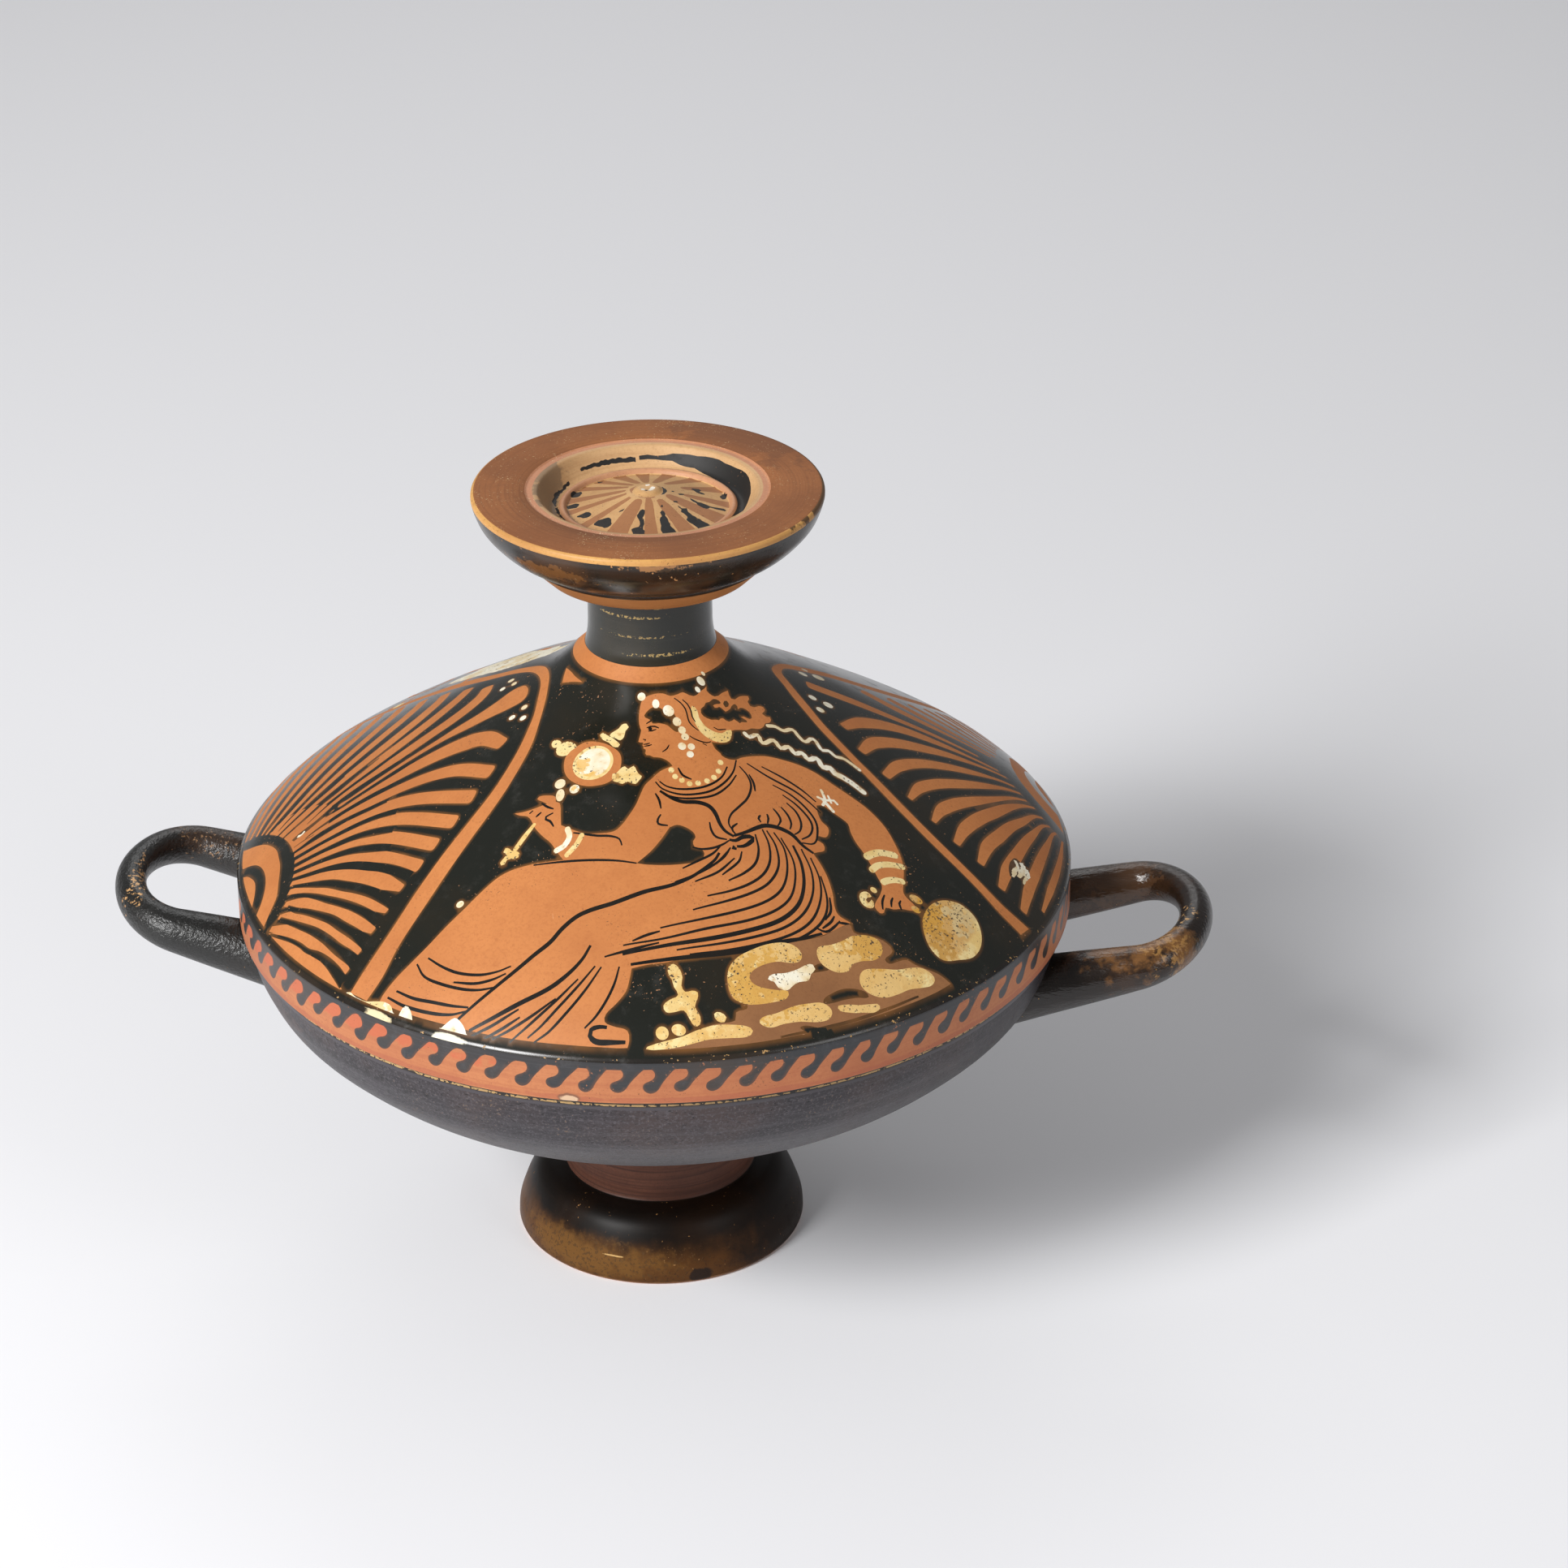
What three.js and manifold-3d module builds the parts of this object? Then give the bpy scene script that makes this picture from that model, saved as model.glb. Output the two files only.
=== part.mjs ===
// Lidded bowl of turned and fired clay: bowl on a stemmed foot, two loop handles,
// and a domed lid with a disc knob on which the lid can stand upside down.
// Millimetres, +Z up. Origin at the centre of the foot's resting face, handles along X.
import * as THREE from 'three';
import { mergeVertices } from 'three/addons/utils/BufferGeometryUtils.js';
import Module from 'manifold-3d';

const wasm = await Module();
wasm.setup();

// Lid and its seat on the bowl
const lidRadius = 100;
const lidOverhang = 1.5;
const lidRimHeight = 11;
const lidWall = 5;
const lidClearance = 1.2;
const shoulderChamfer = 0.8;
const domeRise = 56;
const seatLedgeWidth = 5;
const lipHeight = 6;
const lipThickness = 3.5;

// Bowl
const bowlDepth = 55;
const bowlWall = 5.5;
const bowlEdgeHeight = 2.5;

// Foot
const footRadius = 35.5;
const footHeight = 16.5;
const footToeBevel = 0.75;
const restingRingWidth = 7.5;
const stemRadius = 23.2;
const pedestalHeight = 36;
const footHollowHeight = 27;

// Knob
const neckRadius = 15.5;
const knobStemRadius = 14.6;
const knobStemHeight = 18.75;
const knobRadius = 41;
const knobDiscHeight = 20;
const knobRimHeight = 1.5;
const knobRimRound = 0.8;
const knobBandRadius = 29.5;
const knobBandHeight = 5;
const knobBandStep = 1;
const recessRadius = 28.45;
const recessDepth = 5;
const recessLipWidth = 2.8;
const recessLipDrop = 0.35;
const recessWallWidth = 2;
const ridgeRadius = 19.9;
const ridgeWidth = 2.6;
const ridgeDrop = 3.9;
const bossRadius = 4;
const bossDrop = 0.2;
const floorRise = 4.1;
const recessWallShare = 0.64;
const bossSlopeShare = 0.75;

// Handles: rolled loops, pressed on below the bowl's edge
const handleFrontArm = 20.7;
const handleBackArm = 21.7;
const leftHandleProjection = 29.1;
const rightHandleProjection = 31.9;
const handleBend = 14.5;
const leftTipThickness = 7.4;
const rightTipThickness = 8;
const handleTipHeight = 8.3;
const frontRootThickness = 17.5;
const frontRootHeight = 15.8;
const backRootThickness = 15.2;
const backRootHeight = 14.2;
const handleRootDrop = 9.5;
const handleRise = 7.8;
const handleRootReach = 14;
const leftHandleLift = 2;
const rightHandleLift = -1.4;

// Gap left where a handle's roots are cut to the bowl's wall
const fitGap = 0.3;

// Facets: counts, and the least distance between two points of one profile
const wideSides = 60;
const narrowSides = 40;
const handleSides = 12;
const armSteps = 5;
const bendSteps = 20;
const bowlSteps = 11;
const domeSteps = 14;
const footSteps = 9;
const hollowSteps = 6;
const echinusSteps = 7;
const leastStep = 0.1;

// Sizes that follow from the ones above
const bowlRadius = lidRadius - lidOverhang;
const lipRadius = bowlRadius - seatLedgeWidth;
const lipInnerRadius = lipRadius - lipThickness;
const lidRimInnerRadius = lipRadius + lidClearance;
const seatHeight = pedestalHeight + bowlDepth;
const lidHeight = lidRimHeight + domeRise;
const knobHeight = knobStemHeight + knobDiscHeight;
const handleRootStart = bowlRadius - handleRootReach;

// Outlines as shares: along the radius from inner to outer size, and up from low to high
const bowlOutlineShares = [[0, 0], [0.29, 0.15], [0.68, 0.435], [0.9, 0.69], [0.975, 0.86], [1, 1]];
const domeOutlineShares = [[0, 1], [0.036, 0.945], [0.125, 0.83], [0.265, 0.715], [0.43, 0.585],
  [0.72, 0.325], [0.9, 0.14], [1, 0]];
const echinusShares = [[0, 0], [0.34, 0.18], [0.6, 0.38], [0.83, 0.62], [0.95, 0.85], [1, 1]];
const footOutlineShares = [[1, 0.02], [0.985, 0.19], [0.92, 0.36], [0.79, 0.62], [0.61, 0.85],
  [0.38, 0.97], [0.06, 1]];
const footHollowShares = [[1, 0], [0.8, 0.2], [0.5, 0.62], [0.3, 0.92], [0, 1]];

const terracotta = { color: 0xb5683a, roughness: 0.7, metalness: 0 };
const blackGloss = { color: 0x1d1f1c, roughness: 0.35, metalness: 0 };
const dullGloss = { color: 0x3a383a, roughness: 0.5, metalness: 0 };
const brownGloss = { color: 0x4a2f1c, roughness: 0.45, metalness: 0 };

// Points of a smooth outline through shares laid between two radii and two heights
function smoothOutline(shares, innerRadius, outerRadius, low, high, divisions) {
  const knots = shares.map(([out, up]) => new THREE.Vector2(
    THREE.MathUtils.lerp(innerRadius, outerRadius, out),
    THREE.MathUtils.lerp(low, high, up),
  ));
  return new THREE.SplineCurve(knots).getPoints(divisions);
}

// The outline moved sideways: a positive distance goes to the left of its direction
function offsetOutline(points, distance) {
  return points.map((point, i) => {
    const before = points[Math.max(i - 1, 0)];
    const after = points[Math.min(i + 1, points.length - 1)];
    const along = after.clone().sub(before).normalize();
    return new THREE.Vector2(point.x - along.y * distance, point.y + along.x * distance);
  });
}

function pointsOf(...pairs) {
  return pairs.map(([radius, height]) => new THREE.Vector2(radius, height));
}

// Drops points that fall on top of the one before
function withoutRepeats(points) {
  return points.filter((point, i) => i === 0 || point.distanceTo(points[i - 1]) > leastStep);
}

function signedVolume(geometry) {
  const place = geometry.attributes.position;
  const corner = [new THREE.Vector3(), new THREE.Vector3(), new THREE.Vector3()];
  let sum = 0;
  for (let i = 0; i < geometry.index.count; i += 3) {
    corner.forEach((vertex, k) => vertex.fromBufferAttribute(place, geometry.index.getX(i + k)));
    sum += corner[0].dot(corner[1].clone().cross(corner[2])) / 6;
  }
  return sum;
}

// One closed body with shared vertices and its faces pointing out
function closedBody(geometry) {
  geometry.deleteAttribute('normal');
  geometry.deleteAttribute('uv');
  const merged = mergeVertices(geometry);
  const corners = merged.index.array;
  const inward = signedVolume(merged) < 0;
  const kept = [];
  for (let i = 0; i < corners.length; i += 3) {
    const [a, b, c] = corners.slice(i, i + 3);
    if (a === b || b === c || c === a) continue;
    kept.push(...(inward ? [a, c, b] : [a, b, c]));
  }
  merged.setIndex(kept);
  return merged;
}

// A turned piece: its profile starts and ends on the axis
function turned(profile, sides) {
  const geometry = new THREE.LatheGeometry(withoutRepeats(profile), sides);
  geometry.rotateX(Math.PI / 2);
  return closedBody(geometry);
}

function solidOf(geometry) {
  return new wasm.Manifold(new wasm.Mesh({
    numProp: 3,
    vertProperties: new Float32Array(geometry.attributes.position.array),
    triVerts: new Uint32Array(geometry.index.array),
  }));
}

function geometryOf(solid) {
  const mesh = solid.getMesh();
  const geometry = new THREE.BufferGeometry();
  geometry.setAttribute('position', new THREE.BufferAttribute(new Float32Array(mesh.vertProperties), 3));
  geometry.setIndex(new THREE.BufferAttribute(new Uint32Array(mesh.triVerts), 1));
  return geometry;
}

function piece(name, geometry, finish) {
  geometry.computeVertexNormals();
  const mesh = new THREE.Mesh(geometry, new THREE.MeshStandardMaterial(finish));
  mesh.name = name;
  return mesh;
}

// The bowl's outside from the foot joint to the edge, heights from the foot joint
function bowlOutside() {
  return smoothOutline(bowlOutlineShares, stemRadius, bowlRadius, 0, bowlDepth - bowlEdgeHeight, bowlSteps);
}

// Thrown bowl: flat pad below for the foot, ledge for the lid, and an upright lip inside it
function bowlGeometry() {
  const outside = bowlOutside();
  const lipRound = lipThickness / 4;
  const lipTop = bowlDepth + lipHeight;
  const inside = offsetOutline(outside, bowlWall)
    .filter((point) => point.y < bowlDepth - bowlWall && point.x > stemRadius / 2)
    .map((point) => new THREE.Vector2(Math.min(point.x, lipInnerRadius), point.y))
    .reverse();
  const floorHeight = inside[inside.length - 1].y;
  return turned([
    ...pointsOf([0, 0]),
    ...outside,
    ...pointsOf(
      [bowlRadius, bowlDepth],
      [lipRadius, bowlDepth],
      [lipRadius, lipTop - lipRound],
      [lipRadius - lipRound, lipTop],
      [lipInnerRadius + lipRound, lipTop],
      [lipInnerRadius, lipTop - lipRound],
    ),
    ...inside,
    ...pointsOf([0, floorHeight]),
  ], wideSides);
}

// Thrown foot: solid stem on a thick round-shouldered ring, hollow below
function footGeometry() {
  const ringInnerRadius = footRadius - restingRingWidth;
  const shoulder = smoothOutline(
    footOutlineShares, stemRadius, footRadius, footToeBevel, footHeight, footSteps);
  const hollow = smoothOutline(footHollowShares, 0, ringInnerRadius, 0, footHollowHeight, hollowSteps);
  return turned([
    ...pointsOf([0, pedestalHeight], [stemRadius, pedestalHeight]),
    ...shoulder.reverse(),
    ...pointsOf([footRadius - footToeBevel, 0]),
    ...hollow,
  ], narrowSides);
}

// Thrown lid: vertical rim band, dome and short neck; its rim drops over the bowl's lip
function lidGeometry() {
  const dome = smoothOutline(domeOutlineShares, neckRadius, lidRadius, lidRimHeight, lidHeight, domeSteps);
  const shoulderRadius = lidRadius - shoulderChamfer;
  const outside = dome.filter((point) => point.x < shoulderRadius);
  const inside = offsetOutline(dome, -lidWall)
    .filter((point) => point.y > lidRimHeight / 2 && point.x > neckRadius)
    .map((point) => new THREE.Vector2(Math.min(point.x, lidRimInnerRadius), point.y))
    .reverse();
  const ceiling = inside[inside.length - 1].y;
  return turned([
    ...pointsOf([0, lidHeight]),
    ...outside,
    ...pointsOf(
      [shoulderRadius, lidRimHeight + shoulderChamfer / 2],
      [lidRadius, lidRimHeight - shoulderChamfer / 2],
      [lidRadius, 0],
      [lidRimInnerRadius, 0],
    ),
    ...inside,
    ...pointsOf([0, ceiling]),
  ], wideSides);
}

// Thrown knob: stem and disc, with a band under the disc and a moulded recess in its top
function knobGeometry() {
  const underside = knobStemHeight;
  const stemFillet = neckRadius - knobStemRadius;
  const echinusFoot = underside + knobBandHeight + knobBandStep;
  const rimFoot = knobHeight - knobRimHeight;
  const echinus = smoothOutline(
    echinusShares, knobBandRadius + knobBandStep, knobRadius, echinusFoot, rimFoot, echinusSteps);
  const ridgeTop = knobHeight - ridgeDrop;
  const recessFloor = knobHeight - recessDepth;
  const scotiaRadius = ridgeRadius + ridgeWidth;
  const floorRadius = ridgeRadius - ridgeWidth / 2;
  const lipRadius = recessRadius - recessLipWidth;
  const wallDepth = recessDepth * recessWallShare;
  return turned([
    ...pointsOf(
      [0, 0],
      [neckRadius, 0],
      [knobStemRadius + stemFillet / 3, knobStemHeight / 8],
      [knobStemRadius, knobStemHeight / 4],
      [knobStemRadius, underside],
      [knobBandRadius - knobBandHeight, underside],
      [knobBandRadius, underside + knobBandHeight],
      [knobBandRadius, underside + knobBandHeight + knobBandStep / 2],
    ),
    ...echinus,
    ...pointsOf(
      [knobRadius, knobHeight - knobRimRound],
      [knobRadius - knobRimRound, knobHeight],
      [recessRadius, knobHeight],
      [recessRadius - recessLipDrop, knobHeight - recessLipDrop],
      [lipRadius, knobHeight - recessLipDrop],
      [lipRadius - recessWallWidth / 3, knobHeight - wallDepth / 2],
      [lipRadius - recessWallWidth, knobHeight - wallDepth],
      [scotiaRadius, recessFloor],
      [ridgeRadius + ridgeWidth / 3, recessFloor + knobRimRound / 2],
      [ridgeRadius, ridgeTop],
      [ridgeRadius - ridgeWidth / 3, ridgeTop - knobRimRound / 3],
      [floorRadius, recessFloor],
      [bossRadius, recessFloor + floorRise],
      [bossRadius * bossSlopeShare, knobHeight - (bossDrop + recessDepth - floorRise) / 2],
      [bossRadius / 2, knobHeight - bossDrop],
      [0, knobHeight - bossDrop],
    ),
  ], narrowSides);
}

// Centre line of a handle in its own frame: X outward from the bowl's axis, Y across, Z up.
// The arm at the painted front is set nearer to the middle; frontSide is its side of Y
function handleCentreLine(projection, frontSide) {
  const bendStart = bowlRadius + projection - handleBend;
  const slope = handleRise / projection;
  const armOf = (side) => (side === frontSide ? handleFrontArm : handleBackArm);
  const flat = [];
  for (let i = 0; i < armSteps; i += 1) {
    flat.push([THREE.MathUtils.lerp(handleRootStart, bendStart, i / armSteps), -armOf(-1)]);
  }
  for (let i = 0; i <= bendSteps; i += 1) {
    const turn = Math.PI * (i / bendSteps - 1 / 2);
    const across = Math.sin(turn);
    flat.push([bendStart + handleBend * Math.cos(turn), across * armOf(Math.sign(across))]);
  }
  for (let i = armSteps - 1; i >= 0; i -= 1) {
    flat.push([THREE.MathUtils.lerp(handleRootStart, bendStart, i / armSteps), armOf(1)]);
  }
  return flat.map(([out, across]) => new THREE.Vector3(
    out,
    across,
    (out - bowlRadius) * slope - handleRootDrop,
  ));
}

// Rolled coil: oval rings along the centre line, thicker towards the roots
function handleGeometry(projection, tipThickness, frontSide) {
  const line = handleCentreLine(projection, frontSide);
  const reach = bowlRadius + projection;
  const loopNormal = new THREE.Vector3(-handleRise, 0, projection).normalize();
  const places = [];
  line.forEach((point, i) => {
    const before = line[Math.max(i - 1, 0)];
    const after = line[Math.min(i + 1, line.length - 1)];
    const along = after.clone().sub(before).normalize();
    const side = new THREE.Vector3().crossVectors(loopNormal, along).normalize();
    const inShare = (reach - point.x) / (reach - handleRootStart);
    const front = point.y * frontSide > 0;
    const rootThickness = front ? frontRootThickness : backRootThickness;
    const rootHeight = front ? frontRootHeight : backRootHeight;
    const halfWidth = THREE.MathUtils.lerp(tipThickness, rootThickness, inShare) / 2;
    const halfHeight = THREE.MathUtils.lerp(handleTipHeight, rootHeight, inShare) / 2;
    for (let k = 0; k < handleSides; k += 1) {
      const turn = (k / handleSides) * 2 * Math.PI;
      const vertex = point.clone()
        .addScaledVector(side, halfWidth * Math.cos(turn))
        .addScaledVector(loopNormal, halfHeight * Math.sin(turn));
      places.push(...vertex.toArray());
    }
  });
  const last = line.length - 1;
  const firstCap = places.length / 3;
  places.push(...line[0].toArray(), ...line[last].toArray());
  const faces = [];
  for (let k = 0; k < handleSides; k += 1) {
    const next = (k + 1) % handleSides;
    for (let i = 0; i < last; i += 1) {
      const [low, high] = [i * handleSides, (i + 1) * handleSides];
      faces.push(low + k, low + next, high + next, low + k, high + next, high + k);
    }
    faces.push(firstCap, next, k);
    faces.push(firstCap + 1, last * handleSides + k, last * handleSides + next);
  }
  const geometry = new THREE.BufferGeometry();
  geometry.setAttribute('position', new THREE.Float32BufferAttribute(places, 3));
  geometry.setIndex(faces);
  return closedBody(geometry);
}

// The bowl's outer form filled in and grown by the gap, to cut the handles' roots with
function rootCutter() {
  const grown = offsetOutline(bowlOutside(), -fitGap);
  const top = bowlDepth + lipHeight;
  const geometry = turned([
    ...pointsOf([0, grown[0].y]),
    ...grown,
    ...pointsOf([bowlRadius + fitGap, top], [0, top]),
  ], wideSides);
  return solidOf(geometry);
}

// Each handle was rolled and set on by hand, so its reach, tip and height are its own
function handle(name, turn, frontSide, projection, tipThickness, lift) {
  const place = new THREE.Matrix4().makeRotationZ(turn).setPosition(0, 0, bowlDepth + lift);
  const roll = solidOf(handleGeometry(projection, tipThickness, frontSide).applyMatrix4(place));
  return piece(name, geometryOf(roll.subtract(rootCutter())), blackGloss);
}

function vessel() {
  const group = new THREE.Group();
  const foot = piece('foot', footGeometry(), brownGloss);
  const body = new THREE.Group();
  body.position.z = pedestalHeight;
  body.add(
    piece('bowl', bowlGeometry(), dullGloss),
    handle('handle_left', Math.PI, 1, leftHandleProjection, leftTipThickness, leftHandleLift),
    handle('handle_right', 0, -1, rightHandleProjection, rightTipThickness, rightHandleLift),
  );
  group.add(foot, body);
  return group;
}

function cover() {
  const group = new THREE.Group();
  group.position.z = seatHeight;
  const knob = piece('lid_knob', knobGeometry(), blackGloss);
  knob.position.z = lidHeight;
  group.add(piece('lid', lidGeometry(), terracotta), knob);
  return group;
}

const lekanis = new THREE.Group();
lekanis.name = 'lidded_bowl';
lekanis.add(vessel(), cover());

export default lekanis;
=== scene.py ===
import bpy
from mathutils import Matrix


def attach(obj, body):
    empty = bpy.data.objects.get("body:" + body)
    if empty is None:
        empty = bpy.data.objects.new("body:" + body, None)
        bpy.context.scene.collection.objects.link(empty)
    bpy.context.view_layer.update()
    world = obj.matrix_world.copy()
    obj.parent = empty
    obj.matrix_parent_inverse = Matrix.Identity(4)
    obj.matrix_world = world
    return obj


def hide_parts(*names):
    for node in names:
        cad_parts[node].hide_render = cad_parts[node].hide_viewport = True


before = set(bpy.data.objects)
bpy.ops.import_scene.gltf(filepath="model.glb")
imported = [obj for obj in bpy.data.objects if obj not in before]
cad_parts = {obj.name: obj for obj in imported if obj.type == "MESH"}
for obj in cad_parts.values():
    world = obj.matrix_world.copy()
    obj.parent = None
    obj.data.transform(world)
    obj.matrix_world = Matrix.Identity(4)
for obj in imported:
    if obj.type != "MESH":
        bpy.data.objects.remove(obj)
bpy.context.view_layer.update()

import math
import random

import bpy
import numpy
from mathutils import Matrix, Vector
from mathutils.geometry import delaunay_2d_cdt
from mathutils.kdtree import KDTree

mm = 0.001
tiny = 1e-6
print("frame loaded:", len(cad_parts), "pieces")

# Drawing helpers. The painting is laid out flat, as seen from above, in millimetres:
# X to the right-hand handle, Y to the back. A third value in a point marks a sharp corner.
strokeSizes = {
    "step": 0.7,  # length of the pieces that a line is cut into
    "spotStep": 0.5,
    "shortest": 1e-4,
    "taper": 0.6,  # width at the two ends of a plain stroke, as a share
    "roundSteps": 6,
    "tipSteps": 8,  # the blunt tip of a leaf
    "tipSquareness": 0.6,
    "tipReach": 0.62,
    "tipRoundness": 0.7,
}


# A smooth line through the points, straight up to the sharp ones
def softLine(points, closed=False, step=strokeSizes["step"]):
    count = len(points)
    spots = [Vector(point[:2]) for point in points]
    sharp = [len(point) > 2 for point in points]
    last = count if closed else count - 1
    line = []
    for i in range(last):
        start, end = spots[i], spots[(i + 1) % count]
        chord = end - start
        length = chord.length
        if length < strokeSizes["shortest"]:
            continue
        leave, arrive = chord / length, chord / length
        if not sharp[i] and (closed or i > 0):
            leave = (end - spots[i - 1]).normalized()
        if not sharp[(i + 1) % count] and (closed or i + 2 < count):
            arrive = (spots[(i + 2) % count] - start).normalized()
        pieces = max(1, round(length / step))
        for k in range(pieces):
            t = k / pieces
            line.append(
                start * (2 * t**3 - 3 * t**2 + 1) + end * (3 * t**2 - 2 * t**3)
                + leave * (length * (t**3 - 2 * t**2 + t)) + arrive * (length * (t**3 - t**2)))
    if not closed:
        line.append(spots[-1])
    return line


def patch(*points):
    return softLine(points, closed=True)


def spot(x, y, wide, high=None, turn=0):
    high = high or wide
    count = max(10, round(2 * math.pi * wide / strokeSizes["spotStep"]))
    tilt = math.radians(turn)
    loop = []
    for k in range(count):
        angle = 2 * math.pi * k / count
        across, up = wide * math.cos(angle), high * math.sin(angle)
        loop.append(Vector((
            x + across * math.cos(tilt) - up * math.sin(tilt),
            y + across * math.sin(tilt) + up * math.cos(tilt))))
    return loop


# One stroke of the brush: its middle line, its widths along it, and round or pointed ends
def brush(points, widths, roundEnds=False, step=strokeSizes["step"]):
    line = softLine(points, step=step)
    count = len(line)
    if not isinstance(widths, (list, tuple)):
        thin = widths if roundEnds else widths * strokeSizes["taper"]
        widths = [thin, widths, widths, thin]
    left, right = [], []
    for i, place in enumerate(line):
        along = (line[min(i + 1, count - 1)] - line[max(i - 1, 0)]).normalized()
        side = Vector((-along.y, along.x))
        at = i / (count - 1) * (len(widths) - 1)
        low = min(int(at), len(widths) - 2)
        half = (widths[low] + (widths[low + 1] - widths[low]) * (at - low)) / 2
        left.append(place + side * half)
        right.append(place - side * half)
    if not roundEnds:
        return left + right[::-1]
    loop = list(left)
    for middle, start in ((line[-1], left[-1]), (line[0], right[0])):
        arm = start - middle
        for k in range(1, strokeSizes["roundSteps"]):
            turn = -math.pi * k / strokeSizes["roundSteps"]
            loop.append(middle + Vector((
                arm.x * math.cos(turn) - arm.y * math.sin(turn),
                arm.x * math.sin(turn) + arm.y * math.cos(turn))))
        if middle is line[-1]:
            loop += right[::-1]
    return loop


# A leaf of a fan: pointed at its base, with a blunt rounded tip at the last point
def petal(points, widths, swell=1.0):
    steps = strokeSizes["tipSteps"]
    loop = brush(points, [width * swell for width in widths])
    side = len(loop) // 2
    left, right = loop[side - 1], loop[side]
    middle, arm = (left + right) / 2, (left - right) / 2
    ahead = Vector((arm.y, -arm.x))
    tip = []
    for k in range(1, steps):
        turn = math.pi * k / steps
        across, out = math.cos(turn), math.sin(turn)
        across = math.copysign(abs(across) ** strokeSizes["tipSquareness"], across)
        tip.append(middle + arm * across + ahead * (strokeSizes["tipReach"] * out ** strokeSizes["tipRoundness"]))
    return loop[:side] + tip + loop[side:]


# Edges flaked by wear: each point is pushed in or out a little
def flaked(loop, depth, seed):
    draw = random.Random(seed)
    worn = []
    for k, place in enumerate(loop):
        along = loop[(k + 1) % len(loop)] - loop[k - 1]
        side = Vector((-along.y, along.x)).normalized() if along.length > tiny else Vector((0, 0))
        worn.append(place + side * draw.uniform(-depth, depth))
    return worn


def mirrored(loop, through, angle):
    axis = Vector((math.cos(math.radians(angle)), math.sin(math.radians(angle))))
    home = Vector(through)
    return [home + axis * (2 * (place - home).dot(axis)) - (place - home) for place in loop]


def turnedBy(loop, angle):
    turn = Matrix.Rotation(math.radians(angle), 2)
    return [turn @ place for place in loop]


# The lid's painting: coats in the order that they were laid on
paintSizes = {
    "reliefLine": 0.56,
    "foldLine": 0.62,
    "heavyLine": 1.0,
    "faceLine": 0.36,
    "crackLine": 0.6,
    "neckRingRadius": 18.3,
    "leftSwell": 1.0,  # how full the petals of the two fans are
    "rightSwell": 1.06,
    "rightTip": 0.8,
    "rightAxis": 14.8,  # direction of the right fan's middle, degrees
    "rightHeart": 180.7,  # turn from the left fan's heart to the right one's
    "farGap": 2.4,  # between the hidden petals and their border's middle line
    "farTip": 0.9,
    "gapStep": 0.5,
    "crustStep": 0.4,
    "ballSize": 0.68,
}
paint = []


def lay(coat, loop):
    paint.append((coat, loop))


def layPatches(shapes):
    for coat, points in shapes:
        lay(coat, patch(*points))


def laySpots(coat, *sizes):
    for size in sizes:
        lay(coat, spot(*size))


def layLines(coat, width, *strokes):
    for points in strokes:
        lay(coat, brush(points, width))


# Left fan: border, heart on the lid's edge, petals from the lowest to the highest
lay("clay", patch(
    (-27, -21), (-28.5, -26), (-31, -32), (-34, -37.5), (-38.5, -43.5), (-44, -50.5), (-49.5, -58.5),
    (-54, -65.5), (-58.5, -71.5), (-62.5, -75.9, 1), (-58.3, -79.2, 1), (-55, -76), (-52, -70.5), (-47, -63),
    (-42.5, -56), (-37.5, -48.5), (-33, -42), (-30, -37), (-27.5, -31.5), (-25.5, -26), (-24.5, -20.5),
    (-23.8, -15), (-23.5, -10), (-23.7, -4.5), (-25, 1), (-27.2, 5.5), (-31, 9.7), (-35.5, 13.2), (-41, 17),
    (-46, 21.3), (-51, 25.6), (-57, 29.9), (-64, 34.2), (-72, 38.2), (-80, 42), (-87, 45.3, 1),
    (-88.6, 41.9, 1), (-81, 38.6), (-72, 34.6), (-64, 30.4), (-58, 26.6), (-52.5, 22.2), (-47.5, 18),
    (-42, 14), (-37, 11), (-32.5, 7.6), (-29, 3.8), (-26.7, -1), (-25.6, -6), (-25.7, -12), (-26.1, -17)))
heartLoops = [
    ("gloss", [(-100.5, -5.2), (-96, -7), (-93, -10), (-90, -13.5), (-87.5, -17), (-85.2, -21), (-83.5, -25),
               (-82.3, -29), (-81.6, -34), (-81.8, -39), (-82.7, -43), (-84.2, -46.4, 1), (-86.2, -47, 1),
               (-86.2, -43.5), (-85, -40), (-85.2, -35), (-85.6, -30), (-86.5, -26), (-87.7, -22),
               (-89.8, -18.2), (-92.5, -14.7), (-96, -11.5), (-100.5, -8.8)]),
    ("clay", [(-99.5, -9.2), (-96, -11.5), (-92.5, -14.7), (-89.8, -18.2), (-87.7, -22), (-86.5, -26),
              (-85.6, -30), (-85.2, -35), (-85, -40), (-86.2, -43.5), (-87.4, -46.6, 1), (-90, -41.8),
              (-94, -33), (-97.5, -22)]),
    ("gloss", [(-100.5, -17), (-96.5, -18.8), (-93, -21.8), (-90.6, -25.8), (-89.2, -30), (-88.7, -34),
               (-89, -38), (-90.2, -41.4, 1), (-91.8, -40, 1), (-91.5, -36.5), (-91.4, -33), (-92, -29),
               (-93.6, -25.6), (-95.6, -22.9), (-100.5, -20.4)]),
]
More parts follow.
